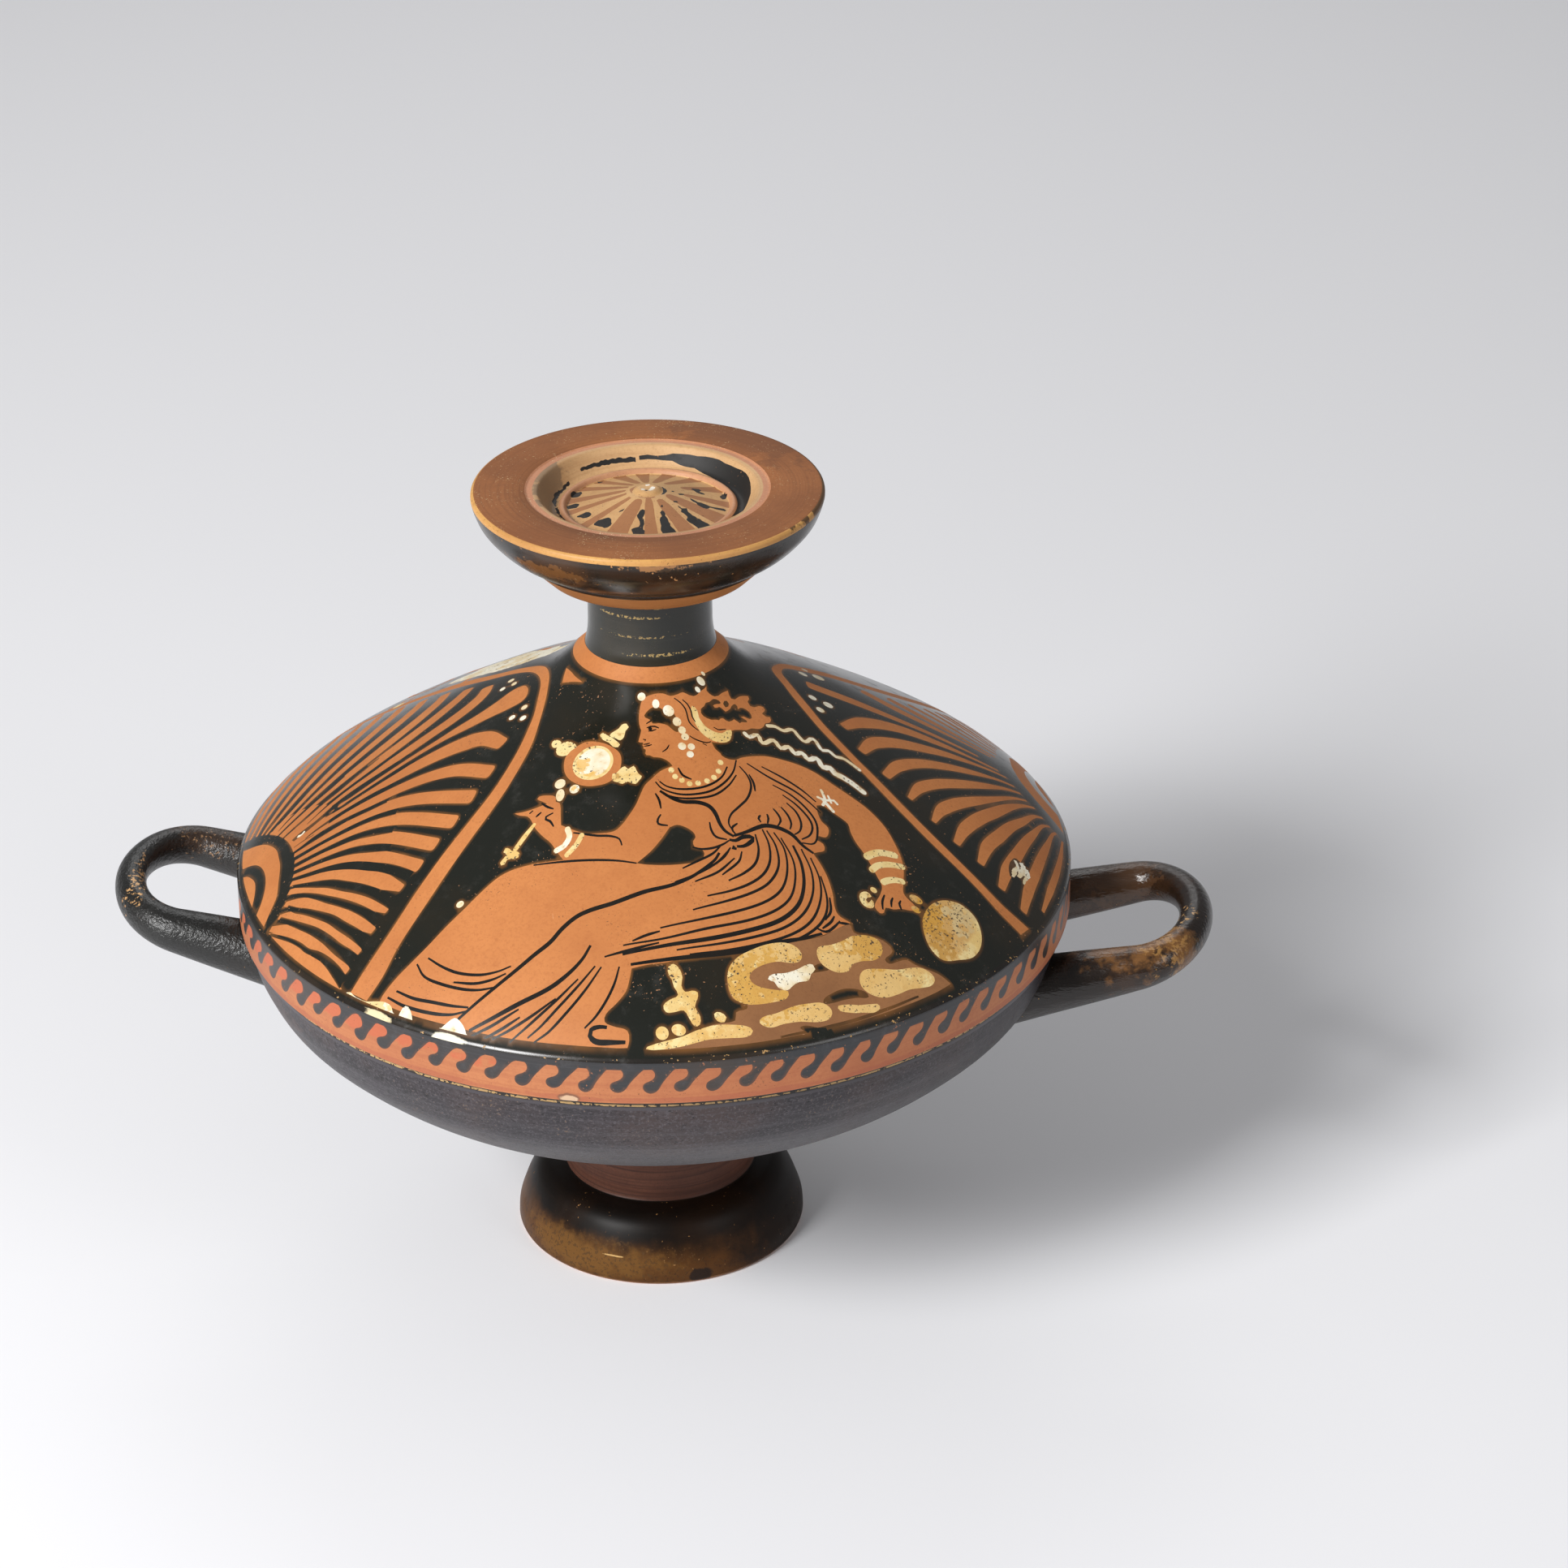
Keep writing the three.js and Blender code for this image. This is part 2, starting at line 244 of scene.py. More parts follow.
leftPetals = [
    ([(-85.2, -48.2), (-81, -51.8), (-77, -56), (-72, -61.2), (-67.5, -66.2), (-64, -70.8)], [1, 2.6, 3, 3.2, 3, 1.4]),
    ([(-83.4, -46.6), (-80, -48.8), (-76, -52.5), (-72, -56.2), (-68, -60.4), (-64.5, -64.2), (-61.5, -67.8)],
     [1, 2.4, 3, 3.2, 3.4, 3, 1.4]),
    ([(-82.3, -44), (-79, -46), (-75, -49), (-71, -52.4), (-67, -56), (-63, -59.8), (-58.8, -63.8)],
     [1.1, 2.6, 3, 3.2, 3.4, 3.4, 1.6]),
    ([(-81.8, -40.9), (-79, -42.3), (-75, -44.9), (-71, -47.8), (-67, -50.8), (-63, -54), (-59, -57.4), (-56, -60)],
     [1.4, 2.2, 2.8, 3.2, 3.6, 3.6, 3, 1.5]),
    ([(-81.6, -38.4), (-79, -39.6), (-75, -41.3), (-71, -43.1), (-67, -45.5), (-63, -48.2), (-59, -50.9),
      (-53.2, -55.4)], [1.4, 2.2, 2.8, 3.2, 3.6, 3.8, 3.6, 1.9]),
    ([(-81.4, -36.3), (-65, -40.8), (-49.7, -51)], [0.9, 3, 3.1]),
    ([(-81.5, -34), (-63.5, -36.5), (-46.5, -46.5)], [0.9, 3.2, 3.2]),
    ([(-81.8, -31.4), (-62, -32.2), (-42.6, -41.9)], [1.1, 3.4, 3.4]),
    ([(-82.3, -28.7), (-60, -28), (-39, -36.4)], [1.3, 3.4, 3.5]),
    ([(-82.4, -26.1), (-68, -23.8), (-54, -23.8), (-44, -26), (-35.4, -30.6)], [1, 2.8, 3.2, 3.6, 3.6]),
    ([(-80, -22.9), (-70, -19.9), (-57, -17.9), (-46, -17.3), (-38, -18.4), (-33.4, -22.4)],
     [0.8, 2.2, 3.4, 4.4, 5.4, 3.4]),
    ([(-86, -17.8), (-80, -14.7), (-72, -10), (-64, -5.6), (-58, -2), (-53, 1.5), (-49.5, 5), (-47, 8.5),
      (-45.5, 11.8)], [0.7, 1.6, 2.6, 3.4, 3.9, 4, 3.9, 3.7, 3]),
    ([(-82, -18.3), (-76, -16), (-68, -12.6), (-60, -9.7), (-54, -7.2), (-48, -4.4), (-43.5, -1), (-40.8, 2.8),
      (-40, 6.6)], [0.6, 1.4, 2.6, 3.5, 3.6, 3.8, 4.1, 3.9, 3]),
    ([(-88, -16), (-83, -13), (-76, -8), (-69, -3), (-63, 1.5), (-58, 6), (-54.5, 10.5), (-52.5, 14.5),
      (-51.9, 17.6)], [0.7, 1.5, 2.3, 3.1, 3.6, 3.9, 4, 3.8, 2.8]),
    ([(-89.6, -14.6), (-87, -12.5), (-82, -7.8), (-76, -2), (-70, 4), (-65, 9.5), (-61.5, 14), (-59, 19),
      (-58.1, 23)], [0.7, 1, 1.6, 2.3, 3, 3.4, 3.5, 3.3, 2.6]),
    ([(-91, -13), (-86.5, -8.5), (-81.5, -2), (-76.5, 5), (-72, 11), (-68, 17.5), (-65.3, 23.5), (-64.4, 28.4)],
     [0.7, 1.4, 2, 2.6, 3, 3.2, 3.1, 2.4]),
    ([(-92.4, -11.4), (-89.5, -7), (-86, -1), (-82, 6), (-78, 13), (-74.3, 20), (-71.5, 27), (-70.4, 32.5)],
     [0.7, 1.3, 1.9, 2.4, 2.8, 3, 2.9, 2.2]),
    ([(-93.6, -9.9), (-90.3, -2), (-87, 6), (-83.5, 14), (-80, 22), (-77, 30), (-76, 35.6)],
     [0.6, 1.4, 2, 2.4, 2.7, 2.7, 2]),
    ([(-95.2, -8.2), (-93.7, -2), (-91, 6), (-88, 15), (-85, 24), (-82.5, 32), (-81.6, 38)],
     [0.6, 1.2, 1.8, 2.2, 2.4, 2.4, 1.8]),
    ([(-97, -6.8), (-96, -1.5), (-94.5, 6), (-92.3, 15), (-90, 24), (-88, 32), (-87.4, 37)],
     [0.5, 1.1, 1.6, 2, 2.2, 2.1, 1.6]),
    ([(-98.6, -5.2), (-98, 0), (-97, 8), (-95.4, 17), (-93.6, 26), (-92.4, 32)], [0.4, 0.9, 1.3, 1.5, 1.5, 1]),
]
leftMiddlePetal = [
    (-73.2, -18.3), (-70, -17.1), (-66, -15.6), (-58, -13), (-50, -10.6), (-44, -8.3), (-40, -6.7), (-36, -4.6),
    (-33.5, -2.8), (-31.7, -2.2), (-30, -2.6), (-29.1, -4), (-28.6, -6), (-28.8, -8.5), (-29.9, -9.8), (-33, -10.5),
    (-38, -10.9), (-42, -11.6), (-48, -12.3), (-56, -13.9), (-64, -16.2), (-70, -17.9)]
# The gloss left between the petals near the heart, wide to narrow, laid over the clay of their bases
leftGaps = [
    ([(-90.8, -11.6), (-90, -10.3), (-88, -8), (-86, -6), (-84, -3.6)], [0.9, 1, 0.9, 0.7, 0.3]),
    ([(-88.6, -13.6), (-86.7, -11.3), (-84.3, -9), (-82.5, -6.6)], [0.25, 0.7, 0.7, 0.3]),
    ([(-88.4, -16), (-86, -14), (-83, -11.7), (-80, -9.3), (-77, -7.3), (-73.5, -4.6)], [0.8, 1, 1.2, 1.3, 1.2, 0.5]),
    ([(-86.6, -18.5), (-84.3, -17), (-81, -15), (-78, -12.8), (-75, -11), (-72.3, -9.2), (-69.7, -7.5), (-65, -4.6)],
     [0.8, 1, 1.2, 1.5, 1.7, 1.5, 1.3, 0.5]),
    ([(-80.7, -18.5), (-79, -17.2), (-76.3, -15.1), (-73, -13.1), (-69.7, -11.5), (-65.7, -9.8), (-62.3, -8.1),
      (-58, -6)], [0.25, 0.6, 1, 1.2, 1.4, 1.3, 1.1, 0.5]),
    ([(-83.6, -22.3), (-82.3, -21.5), (-80, -20.7), (-77, -19.2), (-74.3, -17.5), (-72, -16.3), (-69.7, -15.2),
      (-65.7, -13.9), (-61.7, -12.7), (-57, -11)], [1.3, 1.7, 1.4, 1.9, 2.3, 1.9, 1.8, 1.6, 1.3, 0.5]),
    ([(-76, -19.7), (-72, -19.2), (-68, -18.2), (-64.3, -17.2), (-60, -16.2), (-55, -15.2)],
     [0.9, 1.3, 1.3, 1.4, 1.4, 0.6]),
    ([(-80.2, -24.4), (-78, -23.5), (-76, -22.9), (-72.3, -22), (-68.3, -21.4), (-64.3, -21), (-59, -20.8)],
     [0.4, 0.9, 1.2, 1.4, 1.7, 1.8, 0.9]),
    ([(-82.9, -25.4), (-80.5, -24.9), (-78, -24.8)], [0.25, 0.35, 0.2]),
    ([(-83.4, -27.7), (-81, -27.2), (-77.7, -26.1), (-73.7, -25.6), (-69.7, -25.6), (-65.7, -25.8), (-60, -26.2)],
     [0.8, 1, 1.4, 1.6, 1.7, 1.6, 0.9]),
    ([(-81.8, -30.3), (-77, -29.9), (-72, -29.8), (-67, -29.8), (-62, -30.3), (-57, -31.6)],
     [1, 1.2, 1.4, 1.6, 1.7, 1.6]),
    ([(-81.5, -32.9), (-77, -33), (-72, -33.5), (-67, -34), (-62, -35.5), (-57, -37.2)],
     [0.6, 0.9, 1.3, 1.6, 1.8, 1.7]),
    ([(-81.3, -35), (-77, -36), (-72, -37), (-67, -38.3), (-62, -40.4), (-57, -42.6)], [0.8, 1, 1.3, 1.7, 1.9, 1.8]),
    ([(-81.3, -37.5), (-77.5, -38.8), (-73.5, -39.8), (-69.5, -41.3), (-65.5, -43.3), (-61.5, -45.8), (-57, -48.5),
      (-53, -51.5), (-51, -53.2)], [0.8, 1.1, 1.5, 1.9, 2.1, 2.2, 2.2, 2.2, 2.2]),
    ([(-81.3, -39.6), (-78, -41.5), (-74.5, -43.5), (-71, -45.5), (-67, -48.5), (-63.5, -51), (-59.5, -54.2),
      (-56, -57.5), (-54, -59.6)], [0.8, 1.3, 1.9, 2.3, 2.5, 2.5, 2.5, 2.6, 2.6]),
    ([(-81.3, -42.3), (-78, -44.3), (-74.5, -47), (-71, -50), (-67, -53.2), (-63.5, -56.2), (-60, -59.6), (-57, -62.8)],
     [0.6, 1, 1.4, 1.8, 1.9, 2, 2.2, 2.4]),
    ([(-81.5, -45.3), (-79, -48), (-76.5, -50), (-73, -53), (-69.5, -56.1), (-66.5, -59.4), (-63, -63), (-59.6, -66.8)],
     [0.8, 1.4, 1.6, 1.9, 2.1, 2.3, 2.5, 2.6]),
    ([(-83, -47.3), (-80.5, -50), (-77, -53.5), (-73.5, -56.9), (-70, -60.8), (-67, -64.5), (-64, -67.7),
      (-61.6, -70.4)], [0.7, 1.2, 1.5, 1.8, 2, 2.2, 2.5, 2.5]),
    ([(-85.2, -49.6), (-82.8, -52), (-79.2, -55.5), (-76.7, -58.2), (-74.5, -60.9), (-71.7, -63.4), (-68.8, -66.7),
      (-66.3, -70.2), (-64.4, -73.2)], [0.5, 0.7, 0.8, 0.9, 1, 1.3, 1.7, 2.1, 2.2]),
]
lay("clay", patch((-86.6, -48.4, 1), (-84, -50.2), (-80.5, -54), (-77, -58), (-74, -62), (-71, -65.2), (-68, -68.5),
                  (-64.7, -74.2, 1), (-68.5, -72), (-74, -67), (-79, -61.5), (-83.5, -55.5)))
lay("clay", patch((-91, -12.4), (-87.8, -16.5), (-86.5, -19), (-85.4, -22), (-84.4, -24.5), (-83.4, -27), (-79, -26.2),
                  (-75.5, -24.9), (-74, -19), (-76, -15), (-81, -11), (-87, -9.5)))
for points, widths in leftPetals:
    lay("clay", petal(points, widths, paintSizes["leftSwell"]))
for points, widths in leftGaps:
    lay("gloss", brush(points, widths, step=paintSizes["gapStep"]))
lay("clay", patch(*leftMiddlePetal))
lay("white", patch(
    (-82.7, -22), (-82.4, -21.3), (-81.6, -21.6), (-81, -20.8), (-80.7, -21.4), (-81.3, -22), (-82, -22.3)))
layPatches(heartLoops)
laySpots("white", (-35.6, 1.1, 0.7, 0.9), (-33.9, 4.2, 0.8, 0.9), (-32.8, 1.2, 0.7, 0.9), (-31.5, -14.7, 0.8),
         (-28.8, -12.6, 0.8), (-28.7, -16.5, 0.8))

# Right fan: the front half as read, the hidden half mirrored about the fan's own axis
rightPetals = [
    ([(77, 21.8), (65, 18.6), (55, 15.1), (45, 11.8), (37.2, 9.8)], [0.8, 1.8, 2.4, 3.4, 4.4]),
    ([(82, 20), (78, 18.7), (68, 15.2), (60, 11.5), (54, 7), (49, 1.5), (45.9, -3.6)],
     [0.7, 1.2, 2.6, 3.5, 3.7, 3.6, 2.6]),
    ([(84, 18.6), (80, 16.8), (71, 11.6), (64, 6.5), (58, 1.5), (52.8, -4.5), (50.4, -10.4)],
     [0.7, 1.2, 2.4, 3.2, 3.4, 3.3, 2.4]),
    ([(86, 16), (82, 13.6), (74.5, 7.6), (68.5, 2.5), (63, -3), (58.7, -9), (56.3, -15)],
     [0.7, 1.2, 2.2, 2.6, 2.8, 2.9, 2.5]),
    ([(87.5, 14), (84, 11), (78, 4.2), (72.5, -2), (67.7, -7.5), (64, -13), (62, -18.8)],
     [0.7, 1.2, 2.2, 2.7, 2.8, 2.6, 1.5]),
    ([(89, 12), (86, 8.5), (81.3, 1.2), (77, -5), (72.7, -11), (69.3, -17), (67.7, -22.6)],
     [0.6, 1, 1.6, 2.4, 2.9, 2.8, 1.4]),
    ([(91, 11), (88.5, 8), (85, 2), (81.6, -5), (78, -12), (74.8, -19.5), (73.2, -25.8)],
     [0.6, 1.2, 2.2, 2.8, 2.9, 2.7, 2]),
    ([(93, 8.6), (91, 6), (88.2, -1), (85.5, -7), (82.9, -14), (80.2, -21), (78.9, -28)],
     [0.6, 1.2, 2, 2.4, 2.7, 2.6, 2]),
    ([(94.7, 7), (93, 4), (91, -3), (89, -10), (87.2, -17), (85, -25), (83.9, -32)],
     [0.5, 1, 1.8, 2.2, 2.6, 2.6, 2]),
    ([(96.3, 6.4), (95.5, 4), (94.4, -3), (93, -11), (91.6, -19), (90.1, -27), (89.1, -34.3)],
     [0.5, 0.9, 1.6, 2, 2.2, 2.2, 1.8]),
    ([(97.9, 5), (97.5, -4), (96.5, -13), (95, -22), (93.6, -29.6)], [0.4, 0.9, 1.3, 1.4, 0.8]),
]
rightApex = (28.7, 10)
farPoints = [
    (30.9, 14), (34, 17.8), (39, 22), (45, 26.8), (51, 32), (57, 38), (62, 44.5), (66, 51), (69.6, 58), (74, 65.2)]
farArm = [Vector(corner) for corner in farPoints]


# How far a place lies inside the fan, measured from the far arm of its border
def insideArm(place):
    near = []
    for first, second in zip(farArm, farArm[1:]):
        along = second - first
        share = min(1, max(0, (place - first).dot(along) / along.length_squared))
        away = place - first - along * share
        near.append((away.length, away.length if along.x * away.y - along.y * away.x < 0 else -away.length))
    return min(near)[1]


# A petal of the hidden half, cut short before it meets the border
def farPetal(points, widths):
    places = mirrored([Vector(corner) for corner in points], rightApex, paintSizes["rightAxis"])
    gap = paintSizes["farGap"]
    kept, wide = [], []
    for k, place in enumerate(places):
        clear = insideArm(place) - gap - widths[k] / 2
        if k and clear < 0:
            before = insideArm(places[k - 1]) - gap - widths[k - 1] / 2
            kept.append(tuple(places[k - 1].lerp(place, before / (before - clear))))
            wide.append(widths[k] * paintSizes["farTip"])
            break
        kept.append(tuple(place))
        wide.append(widths[k])
    return kept, wide


lay("clay", patch(
    (28.6, 13.5), (28, 10.5), (28, 8), (29, 5.5), (31, 2.5), (33.5, -1.5), (37, -6), (41, -10.5), (45.5, -14.5),
    (50, -18), (56, -22.6), (62, -27), (68, -31), (74, -34.5), (80, -38), (84, -40.3), (88.6, -41.6, 1),
    (90.4, -38.2, 1), (87, -37.9), (84, -37.2), (79, -34.5), (73, -31), (67, -27.3), (61, -23.2), (55, -18.8),
    (49.5, -14.8), (45, -11), (41, -7), (37.5, -2.5), (34.5, 1.5), (32, 5.5), (30.4, 8.5), (30.2, 11.5),
    *farPoints[:-1], (*farPoints[-1], 1), (71.3, 68, 1), (66.8, 60), (63, 53), (59.2, 46.6), (54, 40), (48, 33.8),
    (42, 28.6), (36, 23.8), (31.2, 19), (29.4, 16)))
for k, (points, widths) in enumerate(rightPetals):
    lay("clay", petal(points, widths[:-1] + [widths[-1] * paintSizes["rightTip"]], paintSizes["rightSwell"]))
    if k > 0:  # the first petal is the middle one, with no mirror image
        lay("clay", petal(*farPetal(points, widths), paintSizes["rightSwell"]))
for coat, points in heartLoops:
    lay(coat, turnedBy(patch(*points), paintSizes["rightHeart"]))
lay("gloss", patch(
    (86, -20.2), (87, -18.6), (88.4, -19.6), (88.2, -22), (87.4, -24.4), (86.2, -26.6), (85.4, -24.5), (85.5, -22)))
for points, widths, depth, seed in (
        ([(86.7, -19.6), (87.4, -21.4), (86.8, -23.4), (86.4, -26)], [0.8, 0.9, 1.1, 0.6], 0.14, 61),
        ([(88.2, -19), (88.9, -20.8), (88.4, -22.6), (87.6, -24.8)], [1, 1.6, 1.5, 0.7], 0.2, 62),
        ([(89.6, -20), (90, -22), (89.2, -24.2), (89, -26)], [0.5, 0.9, 0.7, 0.3], 0.1, 63)):
    lay("white", flaked(brush(points, widths, step=paintSizes["crustStep"]), depth, seed))
laySpots("white", (34.9, 16, 1.1), (38.4, 18.9, 1.5), (37.9, 3, 1), (41.6, 3.1, 1.2), (40, -1.3, 1), (35, 20.5, 0.8))

# Ring at the neck and the little leaf beside it
lay("clay", spot(0, 0, paintSizes["neckRingRadius"]))
lay("clay", patch(
    (-19.3, -6.9, 1), (-18.1, -9), (-16.7, -11.6), (-14.8, -14.2, 1), (-17.3, -12.5), (-19.9, -10.8, 1),
    (-19.7, -8.8)))

# The seated figure's dress and arms, then the gap under the near arm
lay("clay", patch(
    (7.9, -35.6, 1), (5.2, -37.3), (3.4, -39.3), (2, -41), (1.2, -43.2), (0.3, -46), (-1.1, -48.7), (-2.5, -50.9),
    (-4.2, -52.4), (-8, -52.8), (-11, -52.5), (-14, -51.3), (-16.5, -50, 1), (-16.8, -47.5), (-17, -45.6),
    (-17.4, -44.4), (-18.3, -43.9, 1), (-18.5, -42.6), (-20, -42), (-22.3, -41.8), (-22.7, -42.4),
    (-21.6, -43.2), (-20.3, -44.1, 1), (-22.5, -44.6), (-25, -45), (-27.7, -44.9, 1), (-26.5, -45.7),
    (-24.6, -46.4), (-23.6, -47.6), (-22.6, -49.6), (-20.6, -52), (-18.5, -54), (-16.6, -56.7),
    (-15.2, -58.4, 1), (-19, -58.4), (-23, -58.5), (-27, -59), (-30, -60.1), (-33.3, -62.5), (-37, -65.7),
    (-41, -69), (-45, -72.5), (-49, -75.5), (-52, -77.6), (-54.5, -79.7), (-55.3, -80.8, 1), (-53.4, -82),
    (-47.5, -85.6), (-41, -88.8), (-33, -92.1), (-25, -94.6), (-17, -96.3), (-8, -97.4), (0, -97.8),
    (2.5, -97.7, 1), (2.8, -96.5), (2.3, -94.9), (-0.8, -94.2), (-2.9, -93.4), (-2.7, -92), (-0.6, -90),
    (1.4, -87.5), (2, -85), (2.3, -82.8, 1), (6, -81.8), (10, -81), (14, -79.7), (18, -79), (22, -78.1),
    (25.5, -76.8), (28.5, -75.2, 1), (36, -72), (44, -67.8), (49.5, -63), (50.2, -62.5, 1), (47.4, -61.7),
    (46.4, -60), (45.8, -57), (44.5, -53.5), (42.8, -50.8), (40.9, -48.6, 1), (42, -47.9), (43.4, -46.8),
    (43, -45.2), (41.4, -44.9, 1), (41.5, -43.8), (43.4, -43.3), (44, -42.3), (43.9, -40.4), (42.3, -39.3),
    (41.2, -37), (41, -35.5, 1), (42.5, -34.8), (44.5, -35.5), (47, -36.3), (48.3, -37), (49, -39),
    (50.4, -41.3), (52.3, -43.3), (54.2, -46), (55.6, -48.2), (56.7, -50), (56.4, -52.5), (55.5, -55),
    (55.4, -56.3), (56.6, -57.2), (57.5, -56.6), (57.8, -55.2), (59.5, -54.8), (61.4, -53.7), (63.5, -53),
    (64.8, -52), (64, -51), (62.5, -50.2), (61.6, -49.2), (61.5, -46), (61.4, -43), (60.8, -40), (59.3, -36.8),
    (57.3, -33.6), (55, -31.4), (52, -29.6), (48, -28.3), (44, -27.2), (40, -26), (36.5, -25.7), (32, -26.1),
    (29, -26.7), (26, -28), (23.2, -29.6), (22.2, -30.5), (20.4, -30.95), (18.8, -30.5), (17.3, -29.2),
    (16.3, -27.6, 1), (12, -26), (9, -30)))
lay("gloss", patch(
    (1.6, -59.7, 1), (4.4, -57), (6.6, -54), (8.4, -50.9, 1), (10, -50.1), (12, -50.4), (13.8, -51.3),
    (14.4, -52.4), (13.9, -53.4), (14.3, -54.6), (16.3, -55.2), (16.6, -56.5), (15, -58), (12, -59),
    (8, -59.7), (4, -59.9)))

# Head and bun. The face is a plain drawn profile: shares of its height, and how far each point stands out
faceSizes = {"hairline": (-0.7, -23.6), "height": 10.2, "lean": 15.7}
profileShares = [
    (0, 0), (0.12, 0.35), (0.25, 0.5), (0.33, 0.45), (0.38, 0.35), (0.48, 0.75), (0.58, 1.25), (0.635, 1.5),
    (0.665, 1.15), (0.675, 0.6, 1), (0.70, 0.5), (0.74, 0.75), (0.765, 0.7), (0.775, 0.42, 1), (0.79, 0.65),
    (0.825, 0.68), (0.86, 0.25), (0.90, 0.3), (0.95, 0.55), (1.0, 0.35), (1.02, -0.4)]


def onFace(share, out, *sharp):
    lean = math.radians(faceSizes["lean"])
    down = share * faceSizes["height"]
    home = faceSizes["hairline"]
    return (home[0] + math.sin(lean) * down - math.cos(lean) * out,
            home[1] - math.cos(lean) * down - math.sin(lean) * out, *sharp)


lay("clay", patch(
    (-0.6, -22.6), (-0.1, -21.2), (2, -20.2), (4.5, -19.7), (6.3, -19.8), (8, -19), (9, -18.35), (10.5, -18.4),
    (11.5, -18.2), (12.3, -17.5), (13, -16.5), (13.8, -15.5), (14.2, -14.8, 1), (14.3, -15.7), (15, -16),
    (16.2, -15.95), (17, -15.3), (17.7, -14.2), (19, -12.6, 1), (19.4, -13.5), (19.9, -14.1), (20.7, -13.8),
    (21.4, -12.6), (22.3, -11.5), (23.6, -10.5, 1), (23.9, -11.3), (23.6, -12.4), (24.2, -13.2), (25.3, -13),
    (26.1, -12), (27.2, -11.6), (27.6, -12.2, 1), (27.5, -13), (27.1, -14), (28, -14.4), (28.9, -14),
    (29.2, -14.8), (28.9, -16), (28, -16.8), (27.7, -18), (26.8, -19.3), (25, -20.1), (24, -21.1), (22, -22),
    (20.6, -22.9), (20.6, -24.4), (20.1, -25.9), (18.6, -27.1), (16.3, -27.6, 1), (17.3, -29.2), (18.8, -30.5),
    (17, -35), (12, -37.5), (7.9, -35.6, 1), (6.8, -34.6), (5, -33.9), (3.4, -33.9),
    *[onFace(*share) for share in reversed(profileShares)]))
layLines(
    "line", paintSizes["faceLine"],
    [onFace(0.27, -1.1), onFace(0.235, -2.2), onFace(0.24, -3.6), onFace(0.29, -4.7)],
    [onFace(0.60, 0.35), onFace(0.625, -0.2), onFace(0.66, 0)],
    [onFace(0.725, 0.5), onFace(0.735, -0.3), onFace(0.725, -1)],
    [onFace(0.775, 0.4), onFace(0.78, -0.5), onFace(0.772, -1.4)],
    [onFace(0.36, -1), onFace(0.345, -1.9), onFace(0.365, -2.9), onFace(0.42, -3.8)],
    [onFace(0.44, -1.2), onFace(0.45, -2.1), onFace(0.435, -3.1)],
    [onFace(0.99, -3.4), onFace(0.93, -4.6), onFace(0.84, -5.3)])
lay("line", spot(*onFace(0.395, -1.75), 0.48, 0.42))
lay("gloss", patch(
    (0.5, -24.2), (1.8, -22.8), (3.5, -22.3), (5, -22.8), (6, -22.7), (7.5, -23.2), (8.5, -25.5), (9, -26.2),
    (8.3, -27), (7.2, -26.6), (6, -25.8), (4, -25.6), (2.6, -25.8), (1.8, -25), (0.7, -24.6)))
lay("gloss", patch(
    (13.3, -20.2), (14, -19.3), (14.3, -18.4), (15.1, -17.8), (15.9, -16.7), (16.5, -16.4), (17.3, -16.35),
    (17.7, -16.7), (17.35, -17.1), (16.8, -17.4), (16.3, -17.8), (16, -18.2), (16.4, -18.55), (16.9, -18.3),
    (17.4, -17.8), (18, -17.9), (18.9, -18.3), (19.4, -17.7), (19.9, -16.9), (20.1, -16.1), (20.5, -15.3),
    (20.9, -15), (21.4, -15.3), (21.6, -16.1), (22.1, -15.3), (22.7, -15), (23.4, -15), (24.2, -15.3), (24.7, -16),
    (24.9, -16.8),
    (24.5, -17.4), (23.8, -17.5), (23.1, -17.4), (22.4, -17.9), (23, -18.1), (23.8, -18.3), (23.9, -18.8),
    (23.2, -19.1), (22.7, -19.3), (22.3, -19.9), (21.7, -19.6), (20.9, -19.4), (20.6, -19.9), (19.9, -20.6),
    (19.2, -20.6), (18.4, -20.3), (17.9, -20.6), (17.6, -21.2), (16.8, -21.4), (15.9, -21.8), (14.9, -21.8),
    (14, -21.6), (13.4, -21.1)))
lay("gloss", patch((18.4, -15.7), (19, -15.3), (19.5, -15.8), (19.4, -16.6), (18.8, -17.2), (18.2, -16.6)))
lay("cream", patch(
    (11.2, -20.3), (12.5, -20.8), (13, -22.2), (14.5, -23.8), (16.5, -24.6), (18.5, -24.4), (19.5, -23.2),
    (20.4, -22.7), (20.7, -24), (20.2, -26), (18.6, -27), (16.5, -27.1), (14.3, -26.2), (12.8, -24.7),
    (11.6, -22.7)))
layLines(
    "line", paintSizes["faceLine"],
    [(7.1, -20), (8.6, -20.5), (9.8, -21.4), (10.4, -22.8), (10.9, -24), (12, -24.9), (13.2, -25.5)],
    [(9, -19.8), (10.2, -20.3), (11.1, -21.4), (11.5, -22.6), (12.3, -23.6)],
    [(11.2, -27.3), (12.3, -27.8), (13.8, -28.1), (15.2, -28.1), (16.2, -27.5)],
    [(14.3, -28.5), (15.3, -28.8)], [(16.5, -23.5), (17.5, -23.8), (18.5, -23.4), (19.3, -23)])
laySpots("white", (-0.4, -20.7, 0.95, 0.75), (3, -21.8, 0.85), (6, -22.7, 1.3, 1.1), (8.1, -24.6, 1), (9.4, -26.3, 0.9),
         (10.2, -27.8, 0.9), (9.7, -30.3, 0.95), (11.8, -30, 0.85), (11.7, -32, 0.85), (12.3, -16.5, 0.65, 0.55),
         (12.9, -14.4, 1, 0.85), (13.3, -12.5, 0.5, 0.4))
